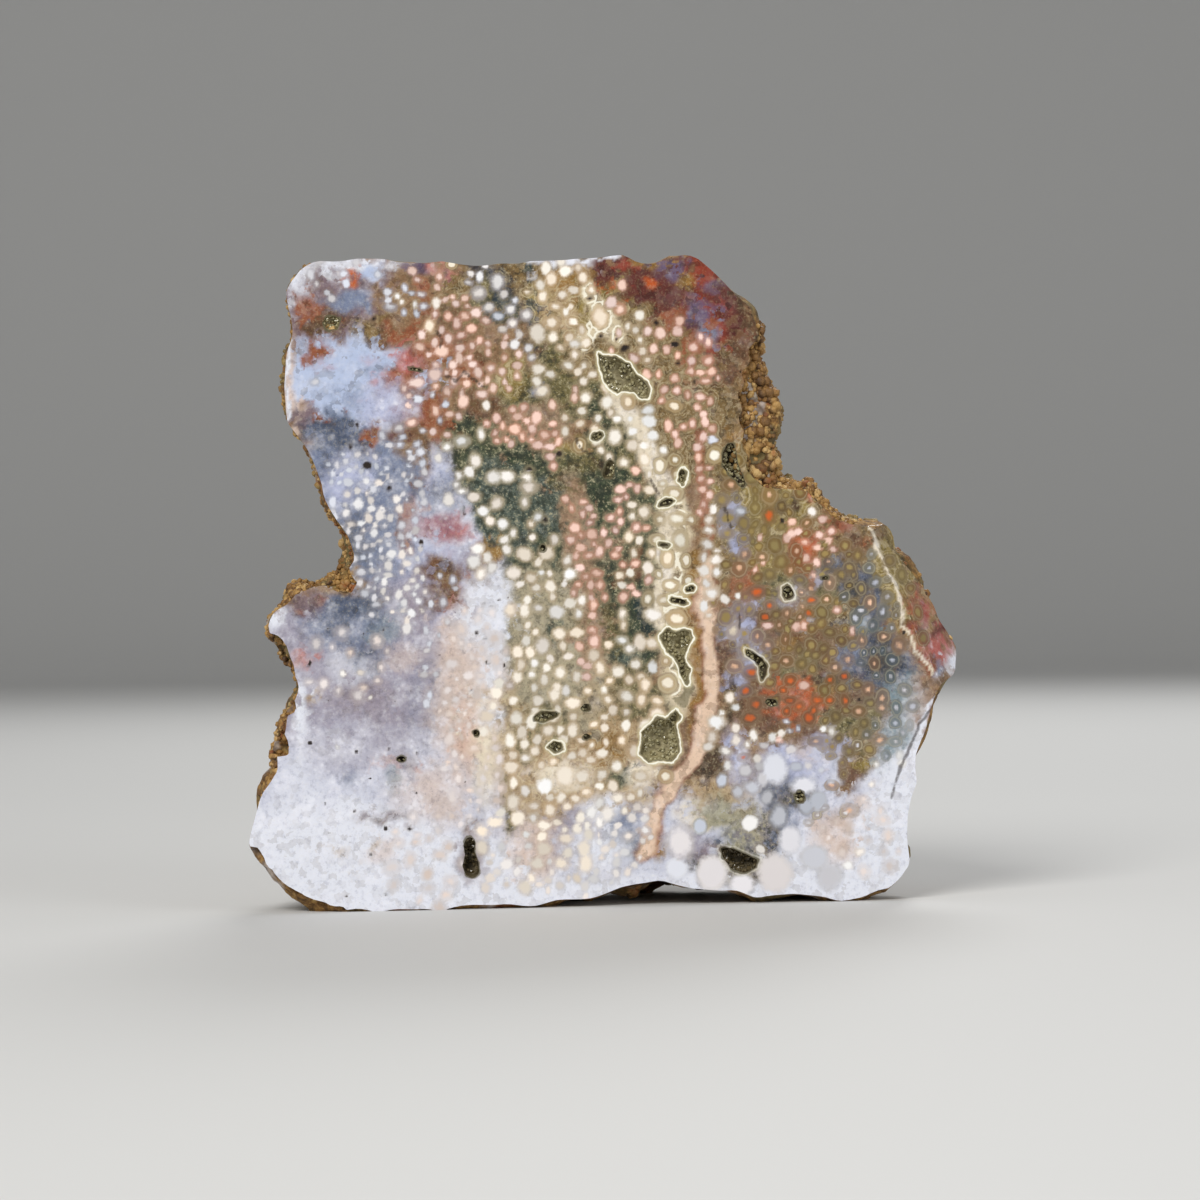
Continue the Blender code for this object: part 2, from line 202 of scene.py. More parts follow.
# What a ground colour is: its tint, and how mossy, how lined with contours and how cloudy it is.
GROUNDS = {
    "white": ((0.88, 0.89, 0.93), 0.0, 0.0, 0.7),
    "lilac_white": ((0.78, 0.79, 0.85), 0.0, 0.0, 1.0),
    "lavender": ((0.70, 0.72, 0.83), 0.0, 0.0, 1.0),
    "lilac_grey": ((0.63, 0.61, 0.67), 0.0, 0.0, 0.8),
    "blue_grey": ((0.46, 0.50, 0.60), 0.0, 0.1, 0.7),
    "slate": ((0.29, 0.33, 0.42), 0.15, 0.2, 0.4),
    "blue_black": ((0.11, 0.15, 0.22), 0.1, 0.2, 0.2),
    "teal": ((0.40, 0.50, 0.54), 0.1, 0.2, 0.6),
    "dark_teal": ((0.12, 0.19, 0.19), 0.5, 0.4, 0.1),
    "mauve": ((0.48, 0.40, 0.43), 0.15, 0.1, 0.4),
    "purple_grey": ((0.40, 0.33, 0.43), 0.0, 0.1, 0.2),
    "tan": ((0.54, 0.41, 0.29), 0.25, 0.3, 0.1),
    "tan_olive": ((0.50, 0.40, 0.24), 0.35, 0.7, 0.1),
    "sand": ((0.68, 0.57, 0.42), 0.1, 0.8, 0.3),
    "cream": ((0.91, 0.86, 0.77), 0.0, 0.4, 0.6),
    "cream_green": ((0.86, 0.80, 0.69), 0.1, 1.0, 0.0),
    "beige_pink": ((0.83, 0.75, 0.71), 0.0, 0.2, 0.8),
    "pink": ((0.74, 0.47, 0.42), 0.0, 0.3, 0.5),
    "pink_red": ((0.70, 0.36, 0.33), 0.0, 0.2, 0.5),
    "salmon": ((0.86, 0.62, 0.50), 0.0, 0.3, 0.4),
    "rust": ((0.56, 0.31, 0.19), 0.15, 0.3, 0.1),
    "rust_brown": ((0.43, 0.29, 0.19), 0.3, 0.3, 0.1),
    "orange": ((0.72, 0.32, 0.11), 0.0, 0.4, 0.2),
    "maroon": ((0.36, 0.16, 0.13), 0.0, 0.15, 0.05),
    "red": ((0.53, 0.20, 0.12), 0.0, 0.15, 0.05),
    "ochre": ((0.58, 0.43, 0.20), 0.1, 0.7, 0.1),
    "yellow_olive": ((0.56, 0.48, 0.24), 0.2, 0.8, 0.1),
    "olive": ((0.42, 0.38, 0.23), 0.8, 0.3, 0.0),
    "moss": ((0.31, 0.33, 0.24), 1.0, 0.15, 0.0),
    "green_black": ((0.22, 0.26, 0.18), 1.0, 0.25, 0.0),
    "grey_olive": ((0.64, 0.60, 0.50), 0.45, 0.15, 0.2),
    "sky": ((0.70, 0.75, 0.86), 0.0, 0.0, 0.35),
    "khaki": ((0.62, 0.60, 0.50), 0.2, 0.0, 0.3),
    "druzy": ((0.46, 0.44, 0.46), 0.9, 0.0, 0.0),
    "crisp_lavender": ((0.66, 0.68, 0.80), 0.0, 0.0, 0.25),
    "slate_green": ((0.32, 0.36, 0.32), 1.0, 0.0, 0.1),
    "rose_brown": ((0.60, 0.48, 0.38), 0.3, 0.2, 0.2),
    "peach": ((0.90, 0.78, 0.68), 0.0, 0.25, 0.3),
    # Painted shade of small holes that the mesh does not have, laid on the face as a ground.
    "dark_hole": ((0.08, 0.09, 0.08), 0.0, 0.0, 0.0),
    "brown": ((0.30, 0.21, 0.13), 0.4, 0.4, 0.0),
}
BASE_GROUND = "tan"
# The ground's patches, painted one over the other: colour and ellipse.
PATCHES = [
    # The broad areas.
    ("mauve", 350, 305, 80, 55), ("tan", 425, 300, 55, 60), ("tan_olive", 560, 350, 110, 110),
    ("sky", 362, 388, 80, 48, -10), ("blue_grey", 365, 500, 80, 80), ("tan", 450, 420, 60, 70),
    ("rust", 440, 385, 60, 40, 20), ("tan", 480, 360, 60, 60), ("olive", 540, 480, 110, 110),
    ("moss", 560, 560, 110, 120), ("tan", 700, 420, 60, 120), ("tan_olive", 690, 400, 50, 80),
    ("lilac_grey", 360, 690, 130, 100), ("lilac_grey", 420, 620, 70, 60),
    ("lavender", 450, 560, 50, 60), ("beige_pink", 490, 720, 60, 140), ("sand", 570, 730, 75, 110),
    ("olive", 590, 680, 60, 80), ("sand", 600, 780, 60, 70), ("tan_olive", 790, 540, 80, 110),
    ("yellow_olive", 760, 500, 50, 60), ("rust_brown", 800, 640, 90, 100),
    ("tan_olive", 820, 580, 60, 70), ("yellow_olive", 775, 560, 40, 44),
    ("ochre", 790, 625, 34, 24, 20), ("lilac_white", 360, 820, 150, 95),
    ("white", 340, 860, 130, 60), ("white", 480, 880, 120, 40), ("lilac_grey", 600, 850, 60, 50),
    ("lilac_white", 700, 850, 80, 60), ("lilac_white", 830, 830, 120, 80),
    ("white", 840, 870, 110, 45), ("white", 905, 800, 30, 110), ("white", 560, 890, 110, 22),
    ("white", 730, 888, 110, 16),
    # The upper left: rust and mauve under a white corner.
    ("white", 300, 282, 26, 16, -20), ("white", 350, 264, 60, 8), ("mauve", 332, 289, 26, 17),
    ("orange", 352, 281, 6, 12), ("sky", 373, 274, 13, 9), ("mauve", 394, 286, 14, 12),
    ("rust", 398, 290, 8, 9), ("rust_brown", 322, 323, 24, 18), ("rust", 308, 312, 12, 14),
    ("blue_grey", 350, 305, 24, 10), ("tan", 410, 300, 26, 34), ("rust", 419, 290, 9, 11),
    ("purple_grey", 417, 270, 16, 8), ("pink", 437, 268, 11, 7), ("rust", 430, 320, 16, 14, 30),
    ("rust", 402, 336, 26, 9, 8), ("tan_olive", 372, 335, 18, 9), ("rust", 320, 356, 12, 13),
    ("pink_red", 365, 362, 9, 5, -10), ("pink_red", 414, 364, 14, 10, -14),
    ("sky", 430, 378, 12, 8, 30), ("rust_brown", 385, 345, 16, 6), ("lavender", 376, 384, 12, 6),
    ("lavender", 388, 408, 26, 20), ("sky", 345, 372, 34, 14, 15), ("sky", 322, 392, 22, 14),
    ("beige_pink", 290, 395, 6, 50), ("mauve", 306, 418, 18, 13), ("slate", 341, 434, 34, 18),
    ("rust", 305, 404, 4, 4), ("rust", 320, 420, 5, 4), ("rust", 376, 438, 9, 12, -15),
    ("maroon", 400, 440, 8, 6), ("slate", 336, 474, 16, 16), ("rust", 432, 412, 15, 18),
    ("rust", 446, 352, 26, 12, 25), ("rust", 470, 372, 24, 14, 20),
    ("rust_brown", 462, 322, 24, 20), ("tan_olive", 456, 294, 20, 16), ("tan", 452, 268, 16, 9),
    # The left side: blue-grey with beads, then a pink and rust island.
    ("lavender", 356, 484, 28, 26), ("blue_grey", 388, 520, 36, 60), ("slate", 366, 602, 22, 14),
    ("slate", 352, 545, 16, 24), ("lavender", 437, 468, 18, 22), ("maroon", 415, 484, 6, 8),
    ("rust_brown", 418, 445, 8, 22, 10), ("rust", 410, 524, 10, 26),
    ("rust_brown", 440, 574, 20, 18), ("lilac_white", 450, 524, 38, 26, -8),
    ("pink_red", 446, 526, 22, 14, -8), ("lilac_white", 469, 524, 11, 5),
    ("lilac_grey", 470, 560, 20, 12), ("rust", 456, 597, 12, 10), ("ochre", 490, 552, 14, 14),
    ("rust_brown", 478, 575, 14, 12), ("ochre", 355, 584, 13, 13), ("tan", 310, 600, 26, 15, -15),
    ("slate", 334, 618, 30, 10, -10), ("white", 278, 621, 10, 12), ("white", 301, 715, 6, 46),
    # The pale lower left.
    ("white", 492, 620, 36, 46), ("white", 484, 660, 22, 30), ("beige_pink", 460, 690, 18, 50),
    ("beige_pink", 467, 735, 13, 46), ("cream", 488, 745, 14, 50), ("white", 494, 716, 15, 12),
    # The top: teal with white, then olive, then the red corner.
    ("blue_black", 498, 306, 16, 52, 36), ("dark_teal", 510, 322, 12, 30, 36),
    ("blue_black", 526, 325, 9, 6), ("blue_black", 533, 353, 8, 5, 30),
    ("dark_teal", 526, 271, 8, 6), ("dark_teal", 556, 270, 7, 5), ("tan", 500, 340, 30, 14),
    ("olive", 480, 300, 8, 20), ("yellow_olive", 540, 300, 16, 20), ("sand", 560, 320, 18, 40),
    ("olive", 548, 352, 14, 24), ("yellow_olive", 590, 300, 26, 24),
    ("cream_green", 590, 335, 10, 20, -20), ("ochre", 575, 280, 34, 16), ("orange", 600, 288, 5, 6),
    ("white", 560, 262, 62, 4), ("yellow_olive", 512, 376, 16, 20), ("grey_olive", 565, 393, 12, 9),
    ("blue_grey", 542, 394, 6, 4), ("maroon", 612, 268, 26, 14, 10),
    ("maroon", 655, 285, 40, 18, 15), ("ochre", 655, 262, 16, 9), ("maroon", 700, 300, 36, 44, 20),
    ("red", 705, 272, 20, 18), ("red", 712, 318, 14, 28), ("purple_grey", 669, 273, 13, 9),
    ("purple_grey", 694, 316, 12, 14), ("purple_grey", 722, 290, 10, 9),
    ("maroon", 730, 310, 18, 26, 15), ("red", 748, 318, 8, 16), ("ochre", 686, 284, 13, 8),
    ("orange", 653, 284, 6, 5), ("red", 626, 266, 12, 6), ("blue_grey", 704, 337, 9, 9),
    ("red", 709, 360, 6, 14), ("rust_brown", 735, 345, 14, 12), ("rust_brown", 720, 372, 16, 16),
    ("rust", 665, 318, 24, 10, 25), ("tan_olive", 640, 330, 24, 24), ("rust", 690, 352, 12, 16),
    # The middle: moss, salmon strands and the cream chain with its lines.
    ("rose_brown", 520, 425, 40, 18, 15), ("rose_brown", 545, 440, 14, 14),
    ("rust_brown", 480, 410, 26, 16, 10), ("green_black", 462, 428, 14, 14),
    ("moss", 478, 455, 22, 26), ("slate_green", 500, 500, 34, 46),
    ("green_black", 520, 455, 26, 8, -20), ("slate_green", 520, 520, 26, 34),
    ("slate_green", 545, 500, 16, 22), ("green_black", 588, 420, 36, 16, 25),
    ("green_black", 606, 452, 16, 34, 10), ("yellow_olive", 575, 440, 20, 14, 20),
    ("olive", 580, 470, 26, 12, 30), ("green_black", 590, 500, 12, 26, 20),
    ("tan", 580, 430, 22, 18), ("grey_olive", 545, 640, 38, 80), ("grey_olive", 575, 690, 40, 50),
    ("green_black", 625, 570, 26, 70, 5), ("green_black", 640, 620, 18, 60, 5),
    ("green_black", 612, 500, 20, 26), ("rose_brown", 572, 505, 13, 30, 10),
    ("rose_brown", 576, 545, 14, 22), ("rose_brown", 599, 545, 14, 12),
    ("rose_brown", 588, 580, 13, 34), ("rose_brown", 593, 640, 8, 36),
    ("rust_brown", 622, 572, 9, 12), ("rust_brown", 640, 560, 7, 16), ("olive", 615, 690, 16, 30),
    ("slate_green", 560, 630, 12, 16), ("slate_green", 622, 655, 16, 10),
    ("dark_teal", 642, 612, 9, 28), ("dark_teal", 670, 508, 14, 7, 20), ("olive", 562, 392, 14, 14),
    ("olive", 660, 700, 22, 12), ("olive", 545, 725, 30, 18), ("ochre", 600, 745, 18, 22),
    ("olive", 509, 806, 5, 34), ("beige_pink", 535, 850, 22, 26), ("olive", 525, 745, 12, 18),
    ("cream", 560, 775, 24, 12), ("white", 602, 808, 22, 16), ("blue_grey", 625, 836, 16, 24),
    ("slate", 632, 846, 8, 12), ("moss", 620, 778, 16, 10), ("cream", 640, 776, 16, 12),
    ("white", 600, 850, 30, 18), ("cream", 700, 812, 20, 14), ("ochre", 652, 838, 9, 18),
    # The right side: olive and rust with lavender islands, then blue, then the orange band.
    ("ochre", 748, 452, 26, 26), ("yellow_olive", 744, 456, 10, 16), ("brown", 730, 480, 16, 10),
    ("crisp_lavender", 726, 516, 9, 20, -20), ("crisp_lavender", 738, 545, 10, 14),
    ("crisp_lavender", 738, 626, 20, 22), ("crisp_lavender", 750, 655, 13, 22, -30),
    # The dark spots in these rows are painted shade of small holes that the mesh does not have.
    ("crisp_lavender", 745, 606, 12, 8, 20), ("dark_hole", 724, 511, 2.4, 5, 20),
    ("dark_hole", 732, 526, 4, 2.4, 30), ("dark_hole", 741, 620, 8, 2.6, 40),
    ("dark_hole", 746, 616, 2.4, 6), ("crisp_lavender", 735, 686, 10, 12),
    ("rust", 745, 585, 16, 20), ("rust", 800, 548, 18, 20), ("orange", 805, 545, 12, 14),
    ("orange", 818, 495, 14, 7), ("orange", 757, 590, 9, 7), ("rust", 800, 570, 14, 10),
    ("brown", 786, 505, 10, 8, 30), ("rust", 838, 520, 20, 14), ("olive", 780, 590, 26, 20),
    ("rust_brown", 775, 625, 24, 16), ("olive", 822, 592, 20, 16), ("blue_black", 846, 590, 10, 12),
    ("slate", 838, 566, 16, 8), ("lilac_grey", 790, 596, 12, 12),
    ("lilac_grey", 820, 580, 12, 6, 20), ("slate", 870, 585, 16, 18),
    ("rust_brown", 856, 545, 16, 12), ("rust_brown", 820, 640, 28, 16), ("olive", 800, 665, 18, 12),
    ("orange", 792, 683, 16, 10), ("rust", 800, 704, 46, 16), ("rust_brown", 762, 700, 18, 28),
    ("orange", 805, 708, 34, 9), ("orange", 840, 696, 14, 8), ("brown", 835, 676, 22, 10),
    ("ochre", 826, 690, 16, 10), ("blue_grey", 850, 660, 14, 12), ("slate", 884, 672, 22, 34),
    ("teal", 896, 690, 16, 24), ("brown", 880, 650, 12, 9), ("slate", 868, 612, 16, 26),
    ("teal", 862, 630, 12, 10), ("slate", 884, 660, 26, 24), ("blue_black", 886, 660, 17, 19),
    # The first dark spot here is painted shade of a small hole that the mesh does not have.
    ("dark_hole", 818, 684, 5, 3), ("olive", 850, 720, 26, 22), ("tan_olive", 860, 760, 14, 18),
    ("rust_brown", 850, 700, 14, 12), ("teal", 893, 740, 18, 22), ("lavender", 736, 750, 12, 22),
    ("brown", 730, 700, 6, 24), ("rust_brown", 852, 770, 12, 20, 10),
    ("beige_pink", 812, 758, 12, 8), ("lavender", 790, 770, 30, 14), ("slate", 795, 794, 16, 12),
    ("blue_grey", 780, 815, 16, 30), ("beige_pink", 842, 836, 26, 26),
    ("beige_pink", 866, 812, 18, 14), ("druzy", 724, 862, 44, 22), ("slate", 724, 844, 14, 8),
    ("druzy", 764, 836, 14, 24), ("slate", 776, 792, 16, 22), ("druzy", 790, 798, 8, 12),
    ("grey_olive", 728, 812, 26, 14), ("brown", 706, 762, 18, 18), ("sand", 706, 790, 40, 12, -14),
    ("grey_olive", 745, 836, 14, 8), ("khaki", 718, 812, 24, 16, -10), ("khaki", 740, 838, 14, 10),
    ("lavender", 776, 755, 14, 8), ("crisp_lavender", 824, 746, 14, 12),
    ("crisp_lavender", 734, 742, 7, 12), ("mauve", 712, 858, 24, 12),
    ("lilac_grey", 684, 842, 18, 14), ("tan", 846, 790, 9, 8), ("white", 890, 850, 40, 50),
    ("white", 903, 760, 12, 20), ("yellow_olive", 862, 762, 9, 9),
    # The facet and the tip.
    ("yellow_olive", 903, 585, 24, 56, 25), ("rust", 912, 592, 14, 10), ("orange", 915, 607, 6, 5),
    ("rust", 918, 624, 8, 6), ("pink_red", 926, 612, 6, 12), ("pink_red", 942, 645, 18, 18),
    ("blue_grey", 940, 668, 8, 7), ("rust", 929, 664, 9, 9), ("white", 958, 662, 8, 16, 20),
    ("maroon", 948, 632, 12, 10),
]
# The waves of the patches' edges, and how far bits of the neighbouring grounds stray: how far, and
# over what distance that changes.
GROUND_WAVES = [(9.0, 38.0), (5.0, 14.0), (2.5, 6.0)]
GROUND_DRIFT = [(34.0, 23.0), (12.0, 9.0)]
# How wide a patch's soft edge is at least and at most, and which share of the patch it may take:
# the first number for a clear ground, and what a cloudy one adds.
LEAST_EDGE = 1.5
MOST_EDGE = (5.0, 11.0)
EDGE_SHARE = (0.3, 0.5)
# Faint tinges over the ground, strongest in their middle: colour, strength and ellipse.
TINGES = [
    ("blue_grey", 0.9, 345, 622, 60, 50), ("slate", 0.8, 352, 610, 44, 22, 10),
    ("slate", 0.5, 366, 650, 26, 22, 30), ("mauve", 0.8, 305, 600, 34, 22, -15),
    ("ochre", 0.6, 330, 590, 30, 14), ("rust", 0.5, 322, 604, 10, 5), ("rust", 0.5, 305, 612, 8, 4),
    ("pink", 0.8, 305, 660, 12, 9), ("teal", 0.5, 386, 628, 30, 16),
    ("beige_pink", 0.5, 405, 655, 28, 18), ("white", 0.5, 352, 668, 40, 22),
    ("slate", 0.7, 364, 650, 15, 6, 30), ("slate", 0.6, 378, 666, 6, 14, -10),
    ("mauve", 0.35, 372, 700, 60, 30), ("sand", 0.8, 316, 698, 14, 7),
    ("white", 0.9, 300, 715, 10, 60), ("mauve", 0.3, 395, 742, 40, 22),
    ("white", 0.6, 335, 742, 34, 20), ("blue_grey", 0.7, 350, 775, 9, 18),
    ("teal", 0.7, 394, 778, 12, 20), ("slate", 0.5, 394, 762, 16, 6),
    ("slate", 0.4, 396, 794, 12, 5), ("salmon", 0.6, 380, 764, 14, 9),
    ("orange", 0.7, 421, 766, 5, 5), ("tan", 0.4, 408, 762, 22, 12),
    ("mauve", 0.7, 385, 816, 40, 9, 4), ("brown", 0.4, 384, 817, 24, 4, 4),
    ("mauve", 0.6, 412, 828, 10, 7), ("sand", 0.5, 340, 845, 9, 14),
    ("beige_pink", 0.6, 384, 848, 34, 18), ("sand", 0.5, 374, 838, 10, 6),
    ("salmon", 0.3, 468, 735, 14, 50), ("beige_pink", 0.6, 440, 790, 34, 50),
    ("mauve", 0.8, 471, 856, 18, 32), ("tan", 0.6, 472, 826, 14, 14),
    ("white", 0.5, 300, 800, 40, 60), ("blue_grey", 0.3, 430, 700, 30, 60),
    ("blue_grey", 0.5, 440, 500, 26, 60), ("mauve", 0.6, 420, 600, 26, 40),
    ("rust_brown", 0.6, 436, 596, 18, 24), ("brown", 0.9, 748, 300, 22, 46, 10),
    ("brown", 0.8, 754, 325, 14, 30), ("brown", 0.9, 603, 470, 12, 10),
    ("brown", 0.8, 594, 437, 10, 7), ("brown", 0.6, 333, 325, 20, 12),
    ("pink", 0.3, 330, 372, 16, 7), ("blue_grey", 0.5, 350, 398, 26, 12),
    ("pink", 0.5, 376, 383, 9, 5), ("blue_grey", 0.6, 376, 372, 22, 7),
    ("pink", 0.4, 398, 380, 20, 8, -15), ("mauve", 0.5, 420, 395, 20, 12),
    ("lilac_grey", 0.6, 360, 745, 90, 40), ("beige_pink", 0.5, 420, 790, 50, 30),
    ("grey_olive", 0.5, 548, 590, 26, 44), ("sand", 0.4, 600, 700, 34, 40),
    ("yellow_olive", 0.9, 900, 577, 13, 40, 25), ("rust", 0.8, 915, 600, 9, 9, 25),
    ("orange", 0.9, 913, 609, 6, 5), ("red", 0.7, 926, 614, 7, 11), ("rust", 0.8, 920, 625, 7, 8),
    ("pink_red", 0.8, 943, 645, 18, 20), ("rust", 0.8, 930, 663, 8, 8),
]
TINGE_FADE = 0.7
# Broad lines on the ground: colour, half width, and the spots that they run through. Their edges
# are soft between two shares of the half width.
SEAMS = [
    ("cream_green", 11, [(588, 292), (612, 335)]),
    ("cream", 12, [(622, 392), (632, 420), (640, 442), (652, 468), (664, 492), (672, 515)]),
    ("cream_green", 16, [
        (668, 505), (674, 540), (672, 575), (670, 610), (674, 640), (682, 680), (680, 700)]),
    ("cream", 6, [(660, 500), (668, 545), (664, 590), (656, 625)]),
    ("ochre", 8, [(694, 560), (692, 610), (694, 650), (698, 690), (690, 740)]),
    ("rust", 5, [(700, 430), (700, 490), (706, 540), (702, 568)]),
    ("rust", 9, [
        (706, 568), (706, 640), (711, 676), (702, 722), (690, 760), (661, 801), (643, 852)]),
    ("peach", 7.4, [
        (704, 568), (706, 590), (706, 612), (706, 636), (710, 656), (712, 676), (708, 700),
        (702, 722), (698, 742), (690, 760), (676, 779), (661, 801), (650, 826), (643, 852)]),
    # The cream line along the edge between the face and the facet is a painted highlight.
    ("cream", 2.2, [
        (868, 528), (876, 546), (890, 570), (900, 600), (910, 630), (920, 655), (933, 670)]),
    ("white", 2.6, [(945, 690), (932, 706), (921, 726), (910, 750), (900, 770)]),
    ("rust", 7, [(941, 704), (934, 724), (925, 752)]),
    ("white", 1.6, [(506, 264), (560, 261), (618, 257)]),
    ("white", 2.2, [(285, 300), (290, 330), (287, 380), (289, 425)]),
    ("white", 4.0, [(262, 800), (264, 850), (290, 882), (360, 902), (440, 906), (540, 899)]),
]
SEAM_EDGE = (0.55, 1.3)
# Fine dark cracks, through their spots, and their waves.
CRACKS = [
    [(447, 377), (457, 383), (463, 376)], [(465, 373), (474, 381), (484, 388)],
    [(945, 690), (920, 725), (900, 770), (892, 798)], [(724, 508), (727, 515), (731, 528)],
    [(738, 612), (740, 620), (739, 628)], [(745, 646), (750, 651)],
    [(650, 480), (662, 500), (676, 507)], [(437, 333), (443, 340), (441, 349)],
    [(577, 440), (583, 452), (592, 455)],
]
CRACK_WAVES = [(2.0, 7.0)]

# How a kind of orb is made: its core's and its ring's colour, how far the core reaches, how dark
# its outline is, and its smallest and largest radius.
ORBS = {
    "white": ((1.0, 1.0, 1.0), (0.90, 0.87, 0.80), 0.72, 0.0, (5.4, 9.0)),
    "cream": ((1.0, 0.98, 0.94), (0.89, 0.82, 0.71), 0.72, 0.0, (5.6, 10.2)),
    "pink": ((1.0, 0.87, 0.83), (0.88, 0.65, 0.58), 0.70, 0.0, (4.6, 7.2)),
    "bead": ((0.88, 0.90, 0.95), (0.68, 0.71, 0.78), 0.70, 0.0, (3.8, 6.6)),
    "rose": ((0.98, 0.88, 0.85), (0.83, 0.65, 0.58), 0.70, 0.0, (4.6, 7.6)),
    "milk": ((0.94, 0.91, 0.91), (0.87, 0.82, 0.80), 0.50, 0.0, (5.0, 10.0)),
    "frost": ((0.95, 0.95, 0.96), (0.80, 0.80, 0.84), 0.72, 0.0, (4.2, 7.0)),
    "ringed": ((1.0, 0.98, 0.92), (0.74, 0.66, 0.50), 0.52, 0.45, (5.5, 10.0)),
    "eye": ((0.97, 0.80, 0.68), (0.56, 0.43, 0.28), 0.32, 0.30, (6.0, 11.0)),
    "rust_eye": ((0.88, 0.42, 0.16), (0.50, 0.34, 0.19), 0.42, 0.22, (5.5, 10.0)),
    "olive_eye": ((0.64, 0.57, 0.36), (0.46, 0.38, 0.22), 0.46, 0.30, (5.5, 11.5)),
    "blue_eye": ((0.82, 0.84, 0.90), (0.36, 0.41, 0.42), 0.34, 0.40, (5.0, 9.5)),
    "grey_eye": ((0.88, 0.90, 0.95), (0.50, 0.48, 0.42), 0.40, 0.60, (5.0, 7.0)),
    "disc": ((0.82, 0.85, 0.91), (0.60, 0.64, 0.72), 0.78, 0.18, (6.0, 13.0)),
    "big_disc": ((0.93, 0.94, 0.98), (0.80, 0.82, 0.88), 0.86, 0.10, (9.0, 16.0)),
    "star": ((1.0, 1.0, 1.0), (0.97, 0.97, 1.0), 0.95, 0.30, (4.0, 8.0)),
    # Specks are painted shade: small dark dots that stand for tiny holes.
    "speck": ((0.16, 0.12, 0.10), (0.30, 0.24, 0.20), 0.80, 0.0, (1.4, 2.6)),
}
